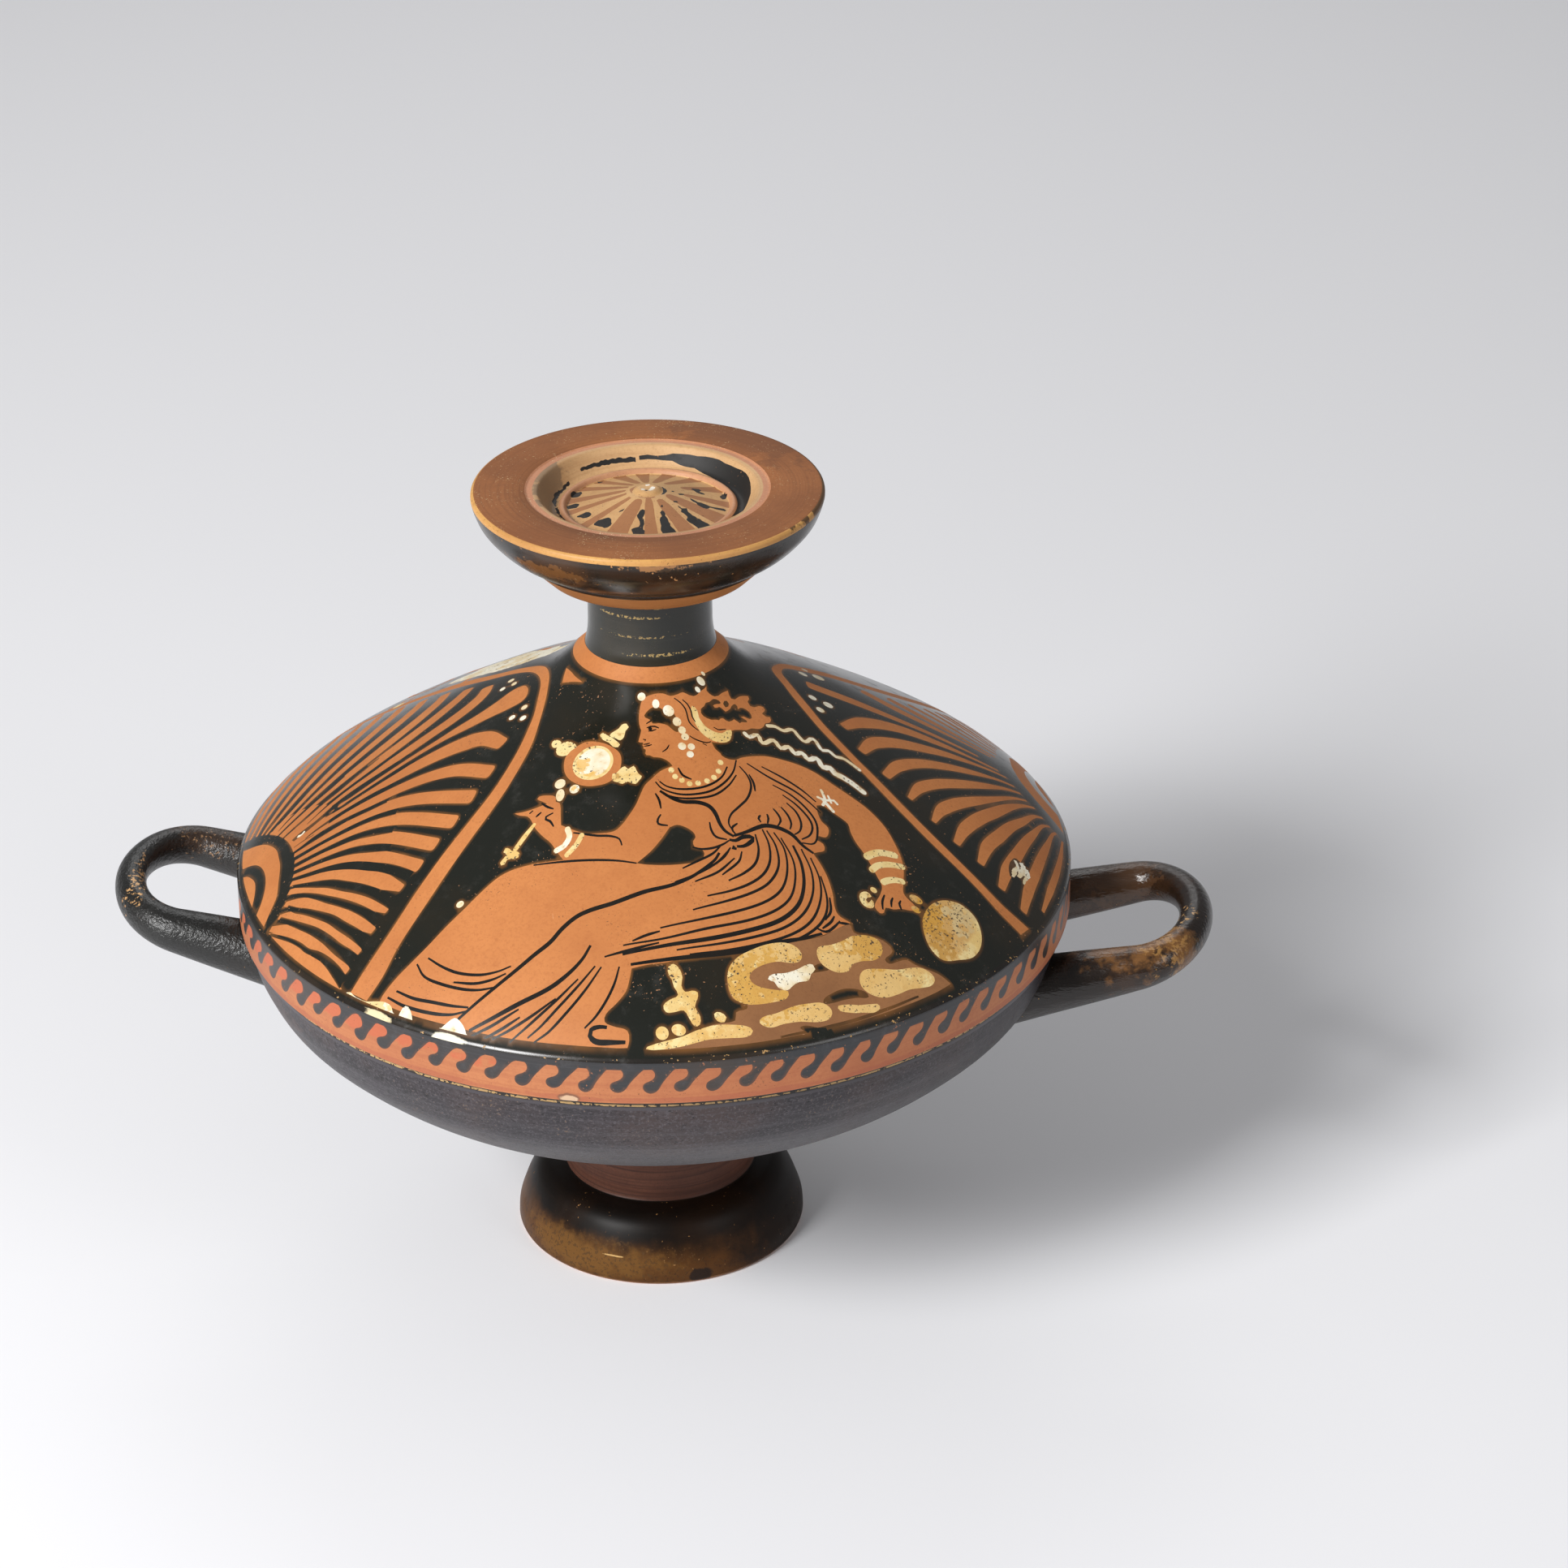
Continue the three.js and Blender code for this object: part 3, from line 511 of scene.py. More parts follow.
for x, y in ((7.7, -36.7), (8.7, -38.2), (10.3, -38.9), (12.1, -39.5), (14, -39), (16, -38), (17.5, -36.7),
             (18.4, -34.8), (18.7, -32.4)):
    lay("cream", spot(x, y, paintSizes["ballSize"]))

# Fine raised lines of the dress and arms, then the heavier ones
layLines(
    "line", paintSizes["reliefLine"],
    [(9.2, -35.9), (10.4, -37.6), (12.5, -38.3)],
    [(5.2, -39.8), (7, -40.9), (10, -41.2), (14, -40.3), (17, -38.6), (19.3, -36), (20.3, -33)],
    [(4.3, -40), (6, -41.6), (9.5, -42.5), (13, -42.1), (17, -40.4), (19.9, -37.5), (21.7, -34), (22.2, -30.6)],
    [(6.5, -43), (10, -43.5), (14, -42.9), (18, -41.2), (20.9, -38), (22.5, -34.6)],
    [(4.5, -42.9), (5.5, -44.5), (6.1, -46.6)],
    [(6.2, -48), (5.6, -49.2), (5.8, -50.3), (8, -50.5)],
    [(17.3, -48.2), (17.8, -50), (19, -51.4), (21.5, -51.5)],
    [(23, -32), (25, -34), (26, -36.5), (25.4, -40), (23.5, -43), (22, -45.2), (21.6, -47.5), (22.8, -49.2)],
    [(25.3, -33.5), (26.5, -35.5), (27, -37.6)],
    [(-13.5, -52.2), (-8, -53.3), (-5, -53.5), (-2.8, -54.2), (-2.1, -55.7)],
    [(-22, -58.7), (-10, -58.9), (-3, -59.2), (1.6, -59.7)],
    [(24.6, -30.6), (30, -32.6), (36, -34), (39.5, -35.6), (42, -37.2)],
    [(28, -30.2), (33, -31.4), (37.5, -32.9), (40.8, -34.6)],
    [(30.8, -34.4), (35, -35.4), (38.6, -37.4), (41, -40), (41.6, -43), (41, -46), (38.3, -47)],
    [(33.2, -36.2), (36.5, -37.6), (39.5, -40), (40.4, -42), (39.9, -44.3), (38.2, -46.1)],
    [(34.2, -38), (36.5, -39.5), (37.8, -42), (37.6, -44.2), (36.5, -45.5)],
    [(33, -39.6), (34.6, -41), (35.6, -43), (35.4, -44.6)],
    [(31.3, -40.7), (32.6, -41.9), (33.2, -43.2), (32.6, -44.8)],
    [(30, -42.6), (30.4, -43.6), (30.3, -45)],
    [(-24.2, -45.8), (-23.4, -45.2)], [(-22.6, -47), (-21.4, -46)],
    [(-21.6, -43.7), (-20, -45), (-18.6, -45.7)],
    [(-18.6, -46.7), (-20.2, -47.4), (-20.2, -48), (-19.2, -48.6), (-18.2, -50.1)],
    [(57.4, -52), (57, -54), (57.2, -56)], [(59.3, -51.8), (59, -53), (59.1, -54.4)],
    [(61.1, -51.6), (60.8, -52.6), (61.4, -54)],
    [(13.9, -54.8), (16, -54.9), (18.4, -54.2), (20.6, -52.9), (22, -51.6)],
    [(22.4, -53.2), (21.2, -55.6), (19.4, -57.8)], [(23.6, -47), (22.4, -48.6), (23.4, -49.8)],
    [(28.6, -43.4), (28.2, -44.4), (28.8, -45.2)],
    [(20.5, -52.8), (18.5, -55.5), (15, -58), (12, -60)], [(22, -54), (19.5, -57.5), (15, -61), (10.5, -63.3)],
    [(23.5, -55.5), (20, -59.5), (15, -62.6)], [(25, -53.5), (24.5, -56), (21, -60)])
layLines(
    "line", paintSizes["foldLine"],
    [(27.7, -48.5), (28.7, -52), (28.2, -55.5), (25.8, -58.5), (22.5, -61)],
    [(29.2, -46.8), (30.9, -50), (31.4, -54), (30.2, -57.5), (27.3, -60.6), (23, -63.3), (18, -65.4)],
    [(30.2, -46.8), (32.5, -50), (33.4, -54.5), (31.7, -59), (28.3, -62.3), (22.5, -65.7), (15, -69)],
    [(31.8, -46.7), (34.4, -50), (35.4, -55), (34.4, -60), (31, -63.9), (25, -67.5), (17, -70.8), (8, -73.8)],
    [(33.5, -47.5), (36.5, -52), (37.3, -56.5), (36.4, -61.5), (33, -65.6), (27, -69.3), (18, -72.8),
     (9, -76), (0, -78)],
    [(38.2, -48.6), (40.8, -53.4), (41.4, -58.5), (39.8, -63.8), (36, -68.3), (30, -72), (22, -75.3),
     (12, -78.2)],
    [(40.4, -50), (42.7, -54.5), (43.2, -59.5), (41.6, -65), (37.8, -69.3), (31.5, -73.2), (23.5, -76.5),
     (15, -78.8)],
    [(42.9, -53.7), (44.6, -58.5), (44.6, -62.5), (42.8, -66.3), (39, -70.2), (34, -73.3), (28, -76)],
    [(45.2, -58.2), (45.6, -61.5), (44.5, -64)],
    [(42.5, -66.5), (44.8, -66.7), (46.5, -65), (47.8, -63)], [(46.5, -62.3), (45.8, -64), (44, -66.2)],
    [(47.6, -63.5), (49.9, -62.9)],
    [(-47, -75.8), (-45, -79), (-41, -81.6), (-36, -83.8), (-32, -84.8), (-28, -84.9)],
    [(-44.5, -75.2), (-41, -78), (-37, -80.3), (-32, -81.7), (-28, -81.7), (-25, -81)],
    [(-38, -82), (-33, -83.3), (-29, -83.2), (-26, -82.4)],
    [(-51.3, -80), (-47, -82.8), (-42, -85), (-38, -86.6), (-34, -87.8)],
    [(-53.3, -80.5), (-49, -83.6), (-43, -86.6), (-38, -88.2), (-34.5, -88.4)],
    [(-5.9, -82.4), (-9, -86), (-13, -90), (-17, -93.5), (-20, -95.3)],
    [(-4.5, -82.6), (-7.5, -87), (-11, -91), (-15, -94.5), (-18.5, -96.2)],
    [(-0.5, -82.5), (-1.3, -86), (-2.9, -89.5), (-5, -92.5), (-7.3, -94.5)],
    [(-9.5, -85), (-14, -89), (-19, -92.6), (-24, -95.5)],
    [(-14.2, -88.7), (-19, -91.4), (-24, -93.4), (-28, -94.4)],
    [(-22.4, -90), (-28, -92), (-33, -93)], [(-22, -91.5), (-26, -93), (-30, -94)],
    [(8, -74.5), (5, -75.6), (2, -77)], [(8, -77), (2, -78.8), (-4, -80.5)])
layLines(
    "line", paintSizes["heavyLine"],
    [(5.5, -42.2), (8.5, -43.8), (11, -44.3), (14.5, -43.9), (17, -44.4), (18.5, -45.9), (19.7, -48.2),
     (21, -49.6), (23, -50.4)],
    [(23, -50.2), (25.5, -48.7), (28.3, -46.6), (30, -45.6), (33, -45.2), (36, -45.8), (38.5, -47.6),
     (41, -48.6)],
    [(22, -51.4), (23.4, -51.3), (25, -50), (27.2, -49.6), (26.6, -51), (25.2, -52.2), (23.8, -52.6)],
    [(23.2, -52.6), (23, -53.2), (23.8, -53.2)],
    [(36.3, -48.4), (38.5, -52.5), (39.3, -57.5), (38.3, -62.5), (34.8, -67), (28.8, -70.8), (20, -74.5),
     (9, -77.6), (0, -79.9)],
    [(20, -55), (19, -57), (15, -61), (12, -63), (9, -64.4), (4, -66), (-3, -68.8), (-8, -70.3),
     (-11, -71.6), (-14, -74), (-16.5, -76.8), (-20, -79.3), (-23, -81.5), (-26, -83.5), (-30, -86),
     (-33.5, -88), (-36.5, -89.6)],
    [(-7.3, -78), (-9, -81), (-12, -84), (-16, -86.6), (-22, -88.8), (-28, -90.7), (-33.5, -92)],
    [(44, -67.4), (40, -69.8), (36, -71.6), (30, -74.8), (24, -77), (18, -78.6), (10, -80.4), (2, -82)],
    [(-2.3, -94.4), (-4, -94.3), (-5.8, -94.8), (-6, -95.8), (-4.5, -96.8), (-1, -96.9), (2, -96.8)])

# Rod with its crossed end, bracelets, disc and ball, dabs and ribbons in white and cream
lay("cream", brush([(-22.8, -48.8), (-24.8, -51.4), (-26.6, -54)], [0.8, 1.2, 1.1], True))
lay("cream", patch(
    (-29, -53.2), (-28, -53.6), (-27.5, -54.2), (-26.2, -54.6), (-25.5, -55.4), (-25.8, -56.2), (-27, -56.3),
    (-28.3, -56.2), (-28.8, -57.2), (-29.6, -57.3), (-29.9, -56.6), (-29.1, -55.6), (-28.6, -54.9),
    (-29.4, -54.1)))
for coat, points, width in (
        ("white", [(-14.9, -51.2), (-14.3, -53), (-15.3, -55), (-17, -56)], 1.3),
        ("cream", [(-11.5, -53), (-12.5, -55), (-14.5, -57.3)], 1.2),
        ("cream", [(53, -43.8), (54, -42.6), (56, -41), (59.2, -39.9)], 1.7),
        ("cream", [(54.3, -46.8), (55.5, -45), (58, -43.3), (61, -42.2)], 1.5),
        ("cream", [(57, -48.8), (58, -47.8), (59.8, -46.7), (61.2, -46.3)], 1.5),
        ("white", [(41.8, -30.6), (42.4, -31.8), (42.8, -33.2), (42.4, -34.6)], 0.7),
        ("white", [(41.1, -33), (42.8, -33), (44.8, -32), (45.6, -32.6)], 0.6),
        ("white", [(42.4, -33.2), (43.6, -34.2), (44.8, -35.2)], 0.8),
        ("white", [(43.4, -31.4), (44.2, -33)], 0.5),
        ("white", [(28.6, -17.2), (30.3, -16.4), (32.2, -16.6), (34.2, -14.9), (35.7, -16.2), (37.3, -17.1),
                   (39, -14.9), (40.5, -16.6), (41.4, -17.5), (42.7, -16.7), (44.5, -17.6), (46, -17),
                   (47.3, -17.2), (50, -18.2)], 0.95),
        ("white", [(23.6, -22.3), (24.7, -22.9), (26.5, -21.4), (27.8, -23.2), (30.2, -21.1), (32, -22.6),
                   (33.7, -21.2), (35.3, -22.5), (36.8, -21.4), (38.4, -22.7), (40.2, -21.2), (41.8, -23.2),
                   (43.4, -22.4), (44.6, -23.5), (46, -23.5), (48.5, -24), (51.3, -25.1)],
         [1, 1, 1.1, 1.2, 1.3, 1.7, 1.5])):
    lay(coat, brush(points, width, True))
lay("clay", patch(
    (-17.3, -34), (-16.8, -31.8), (-15, -30.3), (-12.5, -29.3), (-9, -30), (-6.3, -31.4), (-4.4, -33.2),
    (-3.9, -35.5), (-4.4, -38), (-6.3, -40.2), (-9.5, -41), (-12.5, -40.6), (-15.2, -39), (-16.8, -36.8)))
lay("cream", spot(-10.5, -35, 4.7, 4.35))
lay("white", spot(-10.4, -34.9, 3.9, 3.6))
layPatches([
    ("cream", [(-7.2, -28.4), (-6.2, -27.5), (-5.2, -26.9), (-4.6, -26.1), (-3.5, -25.9), (-2.9, -26.7),
               (-3.6, -27.6), (-3.8, -29), (-4.6, -29.8), (-5.6, -29.3)]),
    ("cream", [(-9.5, -28), (-8.9, -27.5), (-7.9, -28.2), (-6.6, -29), (-5.4, -30), (-4.6, -30.9), (-5, -31.5),
               (-6.2, -31.3), (-7.2, -30.2), (-8.6, -29.4)]),
    ("cream", [(-20.6, -27.2), (-19.5, -27.1), (-18.4, -28.2), (-18.9, -29), (-20, -29.2), (-20.7, -28.4)]),
    ("cream", [(-19.5, -29.5), (-18.7, -28.6), (-17, -28.2), (-15, -29.5), (-14.7, -30.2), (-16, -31),
               (-16.8, -32), (-17.8, -32), (-19.2, -31.2)]),
    ("cream", [(-5.7, -38.2), (-4.8, -38), (-4, -37), (-3, -36.4), (-2.2, -37.1), (-1, -36.3), (-0.3, -37.3),
               (0.3, -38.2), (1.1, -38.8), (0.6, -39.8), (-0.2, -40.8), (-1.2, -40.6), (-2, -40.2),
               (-3.2, -40.8), (-4.2, -40.4), (-5.4, -40), (-5.8, -39.2)]),
    ("cream", [(54.5, -53.9), (53.3, -53.2), (51.9, -54.4), (52, -56), (53, -57), (54.4, -57), (55.2, -56.2),
               (55, -55), (54.5, -54.7), (54.3, -55.3), (53.8, -55.9), (53.3, -55.3), (53.6, -54.6)]),
    ("cream", [(75, -44.4), (77.8, -45.5), (79.3, -48), (79.7, -51), (79, -54), (77.4, -56.6), (74.5, -59),
               (71.8, -60.9), (70, -61.1), (68, -59.8), (66.7, -57.2), (66.2, -54.2), (66.9, -51),
               (68.3, -48.3), (70.5, -46), (72.8, -44.8)]),
])
laySpots("white", (-17.7, -39.4, 1.25), (-14.2, -41.3, 1.15), (-17.4, -42.4, 1, 1.6))
laySpots("cream", (64.5, -49.4, 1.5, 1), (64.6, -52.1, 1.1, 0.8), (54.9, -52, 0.8, 0.7))

# Rock under the figure's seat, with its cracks and its dabs of cream
lay("rock", patch(
    (28.9, -75.3, 1), (36, -72.2), (44, -68), (49.9, -63), (51, -64.5), (54, -64.2), (56, -63.6), (58.5, -63.9),
    (59.8, -65), (59, -66.5), (58.2, -67.8), (59.2, -68.3), (61, -67), (63, -65.6), (65, -65.7), (68, -65.2),
    (70.5, -64.8), (73.1, -65.1, 1), (72.2, -66.2), (70, -68.7), (66, -72.6), (62, -76), (58, -79.1),
    (52, -83.2), (46, -86.6), (40, -89.5), (34, -92), (28, -94), (20, -96), (12, -97.3), (6.5, -97.8, 1),
    (8, -96.9), (12, -95.8), (17, -94), (21, -92), (25.9, -90.4), (26, -88.9), (28.5, -87.2), (25, -86.3),
    (23.6, -83), (24, -80), (26, -77.5)))
layPatches([
    ("gloss", [(45.5, -74.2), (44, -74.2), (42.5, -75.3), (41.5, -77), (43, -76.5), (45, -75.5), (46, -74.8)]),
    ("gloss", [(50, -77.5), (54, -76.5), (55, -77.2), (52.5, -78.4), (49.5, -80), (47, -81.5), (45, -82),
               (47, -79.5)]),
    ("gloss", [(40.3, -88), (43, -88.3), (47, -86.5), (45, -86.8)]),
])
layLines("gloss", paintSizes["crackLine"], [(36, -91), (44, -87.3), (52, -82.8), (60, -77), (66, -71.8)])
layPatches([
    ("cream", [(25.2, -86.2), (23.8, -83.5), (23.8, -80.5), (25.5, -77.8), (28.5, -75.5), (32, -73.4),
               (35.5, -72.1), (38, -72.1), (39.7, -73.4), (39.5, -75), (37.8, -76), (34.5, -76.6), (31.5, -78),
               (29.2, -79.8), (28.5, -81.5), (29.8, -82.6), (32.5, -82.8), (35, -82.5), (37.2, -82.2),
               (37, -83.6), (34.5, -85), (31, -86.3), (28, -86.9)]),
    ("white", [(32.6, -80.8), (33.5, -79.6), (36.5, -78.5), (39, -77), (41, -75.4), (42.3, -75), (42.9, -75.8),
               (42, -77.2), (41.6, -78.6), (39.5, -79.6), (38.3, -80.6), (37, -82), (35, -82), (34, -81)]),
    ("cream", [(43.1, -72.5), (43.3, -70.8), (46, -69.3), (48.5, -67.5), (50.6, -65.5), (53.5, -64.1),
               (56.3, -63.9), (57.5, -65.3), (57.3, -67.2), (55.8, -69), (53, -70.4), (51, -72), (50.3, -73.6),
               (48, -74.8), (45.8, -74.8), (44, -74)]),
    ("cream", [(52.8, -73.8), (53.8, -72), (57.5, -70.2), (61, -68.8), (64, -66.9), (66.7, -65.6), (69.3, -66),
               (69, -67.8), (67, -69.5), (64, -71.5), (61.5, -73.7), (58.5, -75.8), (55.5, -76.5),
               (53.3, -75.8)]),
    ("cream", [(31.3, -89.7), (31.8, -88.6), (35, -87), (38.5, -84.8), (42, -83.2), (45, -82.2), (47, -82.9),
               (46.5, -84.6), (44, -86), (40, -87.2), (36.5, -88.6), (33.8, -89.9)]),
    ("cream", [(48.3, -82), (50, -80.7), (53, -79.6), (55.5, -78.4), (57.5, -77.8), (56.6, -79.4),
               (54, -80.6), (51, -81.8)]),
    ("cream", [(6.6, -97.6), (8, -96.9), (11, -96), (14.5, -94.9), (18, -93.3), (21.5, -92), (25, -91.3),
               (28.5, -90.9), (29.9, -91.4), (28.8, -92.6), (25, -93.6), (20.5, -94.6), (17.5, -95.6),
               (14, -96.7), (10, -97.5)]),
    ("cream", [(10.4, -82), (11.5, -81.2), (13, -82.2), (13.7, -83.8), (13.6, -85.4), (14.5, -86.6),
               (16, -86.2), (17.3, -86.4), (17.3, -87.8), (16.9, -89.2), (18.2, -91), (18.2, -92.4),
               (17, -92.8), (15.6, -91.4), (14.5, -90.3), (12.5, -90.8), (10.6, -91), (9.9, -89.8),
               (11.3, -88.5), (13, -87.4), (12, -86), (11.4, -84.5), (10.6, -83.6)]),
    ("cream", [(21.2, -90), (22.5, -89.5), (24, -90.2), (23.6, -91.1), (22, -91.2)]),
])
# Chips of chalky crust on the lid's left front edge
layPatches([
    ("white", [(-63.4, -75.4), (-61, -77.4), (-58.5, -79.2), (-56, -80.2), (-53.8, -81.2), (-52, -83),
               (-52.2, -86.2), (-56.5, -83.8), (-60.5, -80.6), (-64, -77.6)]),
    ("white", [(-50, -84.4), (-48.8, -83.6), (-47.6, -84.8), (-47, -86.8), (-47.6, -88.6), (-49.4, -88),
               (-50.6, -86.4)]),
    ("white", [(-44.6, -90.4), (-42, -90.2), (-40, -90), (-38.6, -89.4), (-37, -89), (-35.4, -90.2), (-34.4, -91.6),
               (-34, -93), (-34, -94.6), (-38, -93.6), (-41, -92.2), (-44.6, -91)]),
])
laySpots("cream", (10, -94.8, 1.45, 1.15), (13.6, -93.9, 1.6, 1))
laySpots("white", (-38.3, -64.5, 0.9, 0.8))

# Back of the lid, out of the photo: a palmette between scrolls, of the usual kind. It is drawn upright and turned
backSizes = {
    "axis": 103.5,  # direction of its middle, degrees
    "heart": 97.5,  # distance of its heart from the lid's middle
    "petals": 5,  # on each side of the middle one
    "fan": 13.5,  # degrees from petal to petal
    "start": 13.5,
    "length": 60,
    "shorter": (3.9, 1.45),  # how fast the petals get shorter to the sides: share and power
    "bend": 0.039,
    "waist": 0.55,
    "widths": (1, 3.6, 4.4),
    "middleTip": 5.2,
    "rosette": 3.2,
    "rosetteDots": 6,
}


def backPetal(step):
    lean = math.radians(step * backSizes["fan"])
    share, power = backSizes["shorter"]
    reach = backSizes["length"] - share * abs(step)**power
    points = [(math.sin(angle) * out, backSizes["heart"] - math.cos(angle) * out) for angle, out in (
        (lean, backSizes["start"]), (lean, reach * backSizes["waist"]), (lean + backSizes["bend"] * step, reach))]
    widths = list(backSizes["widths"])
    if step == 0:
        widths[-1] = backSizes["middleTip"]
    return petal(points, widths)


backLoops = [("clay", backPetal(step)) for step in range(-backSizes["petals"], backSizes["petals"] + 1)]
for coat, points in (
        ("clay", [(-11, 97, 1), (-9.4, 90.8), (-5, 86.8), (0, 85.6), (5, 86.8), (9.4, 90.8), (11, 97, 1)]),
        ("gloss", [(-8.4, 97.2, 1), (-6.8, 92.6), (-3.6, 89.9), (0, 89), (3.6, 89.9), (6.8, 92.6), (8.4, 97.2, 1)]),
        ("clay", [(-5.4, 97.4, 1), (-4, 94.4), (0, 92.6), (4, 94.4), (5.4, 97.4, 1)])):
    backLoops.append((coat, patch(*points)))
for side in (-1, 1):
    for points, widths in (
            ([(15, 96), (26, 89.5), (33.5, 79), (37.5, 66), (36.5, 52), (30, 42), (21.5, 35.6), (13, 32.8),
              (5.6, 33.2), (0, 35)], [2.2, 2.4, 2.4, 2.2, 2, 1.8, 1.6]),
            ([(38, 71), (45.5, 70.5), (51, 65), (51.5, 57.4), (46.6, 53), (41.8, 56), (43.2, 60.6)],
             [1.4, 2, 1.8, 1.6, 1.5])):
        backLoops.append(("clay", brush([(side * x, y) for x, y in points], widths, True)))
    for leaf in ([(32, 44.5), (36, 37.5), (42.5, 33)], [(46, 72), (53, 73.5), (59, 70)],
                 [(21, 37), (21.5, 30), (26, 25.2)]):
        backLoops.append(("clay", petal([(side * x, y) for x, y in leaf], [1, 3, 1.4])))
    for x, y in ((56, 50), (0, 27)):
        backLoops.append(("cream", spot(side * x, y, 1.5)))
        for k in range(backSizes["rosetteDots"]):
            angle, out = 2 * math.pi * k / backSizes["rosetteDots"], backSizes["rosette"]
            backLoops.append(("clay", spot(side * x + out * math.cos(angle), y + out * math.sin(angle), 0.9)))
for coat, loop in backLoops:
    lay(coat, turnedBy(loop, backSizes["axis"] - 90))
# A pale ragged patch at the back left, beside the neck ring.
lay("white", flaked(patch(
    (-23.4, 13.6), (-31, 15.3), (-38, 18.3), (-44, 22.5), (-49.5, 27.6), (-53, 32.4), (-50.6, 34.8), (-47, 35.2),
    (-45.4, 38.4), (-41, 37.6), (-37.4, 34), (-33, 34.6), (-30.4, 30.2), (-27.6, 25.2), (-24.6, 24.4),
    (-23.6, 19.8), (-21.2, 16.4)), 0.32, 71))
print("painting laid out:", len(paint), "strokes and patches")


# Smooth outline of a turned piece, through (radius, height) points in millimetres
def outline(points, pieces=6):
    count = len(points)
    line = []
    for i in range(count - 1):
        before, start = points[max(i - 1, 0)], points[i]
        end, after = points[i + 1], points[min(i + 2, count - 1)]
        for k in range(pieces):
            t = k / pieces
            line.append(tuple(
                0.5 * (2 * s + (e - b) * t + (2 * b - 5 * s + 4 * e - a) * t**2 + (3 * s - b - 3 * e + a) * t**3)
                for b, s, e, a in zip(before, start, end, after)))
    line.append(tuple(points[-1]))
    return line


def between(shares, inner, outer, low, high, pieces=6):
    line = outline(shares, pieces)
    return [(inner + (outer - inner) * r, low + (high - low) * z) for r, z in line]


# The same outline moved sideways by the thickness of the wall
def shifted(line, thickness):
    moved = []
    for k, (radius, height) in enumerate(line):
        (r0, z0), (r1, z1) = line[max(k - 1, 0)], line[min(k + 1, len(line) - 1)]
        length = math.hypot(r1 - r0, z1 - z0)
        moved.append((radius - (z1 - z0) / length * thickness, height + (r1 - r0) / length * thickness))
    return moved


lidSizes = {
    "radius": 100,
    "neckRadius": 15.5,
    "neckTop": 158,
    "rimTop": 102,
    "seatHeight": 91,
    "seatGap": 0.3,
    "seatRound": 0.3,
    "shoulder": 0.8,
    "shoulderSlope": -0.9,
    "bandLift": 0.42,
    "wall": 5,
    "rimWall": 94.7,
    "rimPoints": 696,
    "neckPoints": 120,
    "topGrid": 2.0,
    "haloWidth": 0.9,
    "ceilingLow": 96.5,
    "ceilingGap": 0.5,
    "ceilingStride": 10,  # the ceiling takes every tenth point of the dome's line
}
domeShares = [(0, 1), (0.036, 0.945), (0.125, 0.83), (0.265, 0.715), (0.43, 0.585), (0.72, 0.325), (0.9, 0.14), (1, 0)]
domeLine = between(domeShares, lidSizes["neckRadius"], lidSizes["radius"], lidSizes["rimTop"], lidSizes["neckTop"], 40)


# Height and slope of an outline at a radius
def heightOn(line, radius):
    radius = min(max(radius, line[0][0]), line[-1][0])
    low, high = 0, len(line) - 1
    while high - low > 1:
        middle = (low + high) // 2
        if line[middle][0] <= radius:
            low = middle
        else:
            high = middle
    (r0, z0), (r1, z1) = line[low], line[high]
    slope = (z1 - z0) / (r1 - r0) if r1 > r0 else 0
    return z0 + slope * (radius - r0), slope


def around(radius, height, count):
    return [(radius * math.cos(2 * math.pi * k / count), radius * math.sin(2 * math.pi * k / count), height)
            for k in range(count)]


# Flat drawings are joined into triangles whose edges follow every contour. Lengths in mm, shares of halo or grid
meshSizes = {
    "edgeGap": 0.6,  # the painting stops this far inside the mesh's edge
    "innerGap": 0.4,
    "shortest": 0.05,
    "nearest": 1e-5,
    "haloClear": 0.82,
    "gridClear": 0.5,
    "gridRow": 0.97,
    "crowding": 0.7,
}


def addLine(spots, edges, line, closed=True):
    first, count = len(spots), len(line)
    spots.extend(line)
    edges.extend((first + k, first + (k + 1) % count) for k in range(count if closed else count - 1))


def treeOf(spots):
    tree = KDTree(len(spots))
    for k, place in enumerate(spots):
        tree.insert((place.x, place.y, 0), k)
    tree.balance()
    return tree


def clearOf(tree, place, gap):
    return tree.find((place.x, place.y, 0))[2] > gap


# Corners, triangles and the triangles' middles
def trianglesOf(spots, edges):
    joined = delaunay_2d_cdt(spots, edges, [], 0, meshSizes["nearest"])
    flat = numpy.array([(place.x, place.y) for place in joined[0]])
    corners = numpy.array(joined[2])
    return joined[0], corners, flat[corners].mean(axis=1)


# Numbers of the middles that lie inside a closed outline
def insideOf(middles, loop):
    ends = numpy.array([(place.x, place.y) for place in loop])
    near = numpy.nonzero(((middles > ends.min(axis=0)) & (middles < ends.max(axis=0))).all(axis=1))[0]
    x, y = middles[near, 0][:, None], middles[near, 1][:, None]
    nextEnds = numpy.roll(ends, -1, axis=0)
    side = (nextEnds[:, 0] - ends[:, 0]) * (y - ends[:, 1]) - (x - ends[:, 0]) * (nextEnds[:, 1] - ends[:, 1])
    rising = (ends[:, 1] <= y) & (nextEnds[:, 1] > y) & (side > 0)
    falling = (ends[:, 1] > y) & (nextEnds[:, 1] <= y) & (side < 0)
    return near[rising.sum(axis=1) != falling.sum(axis=1)]


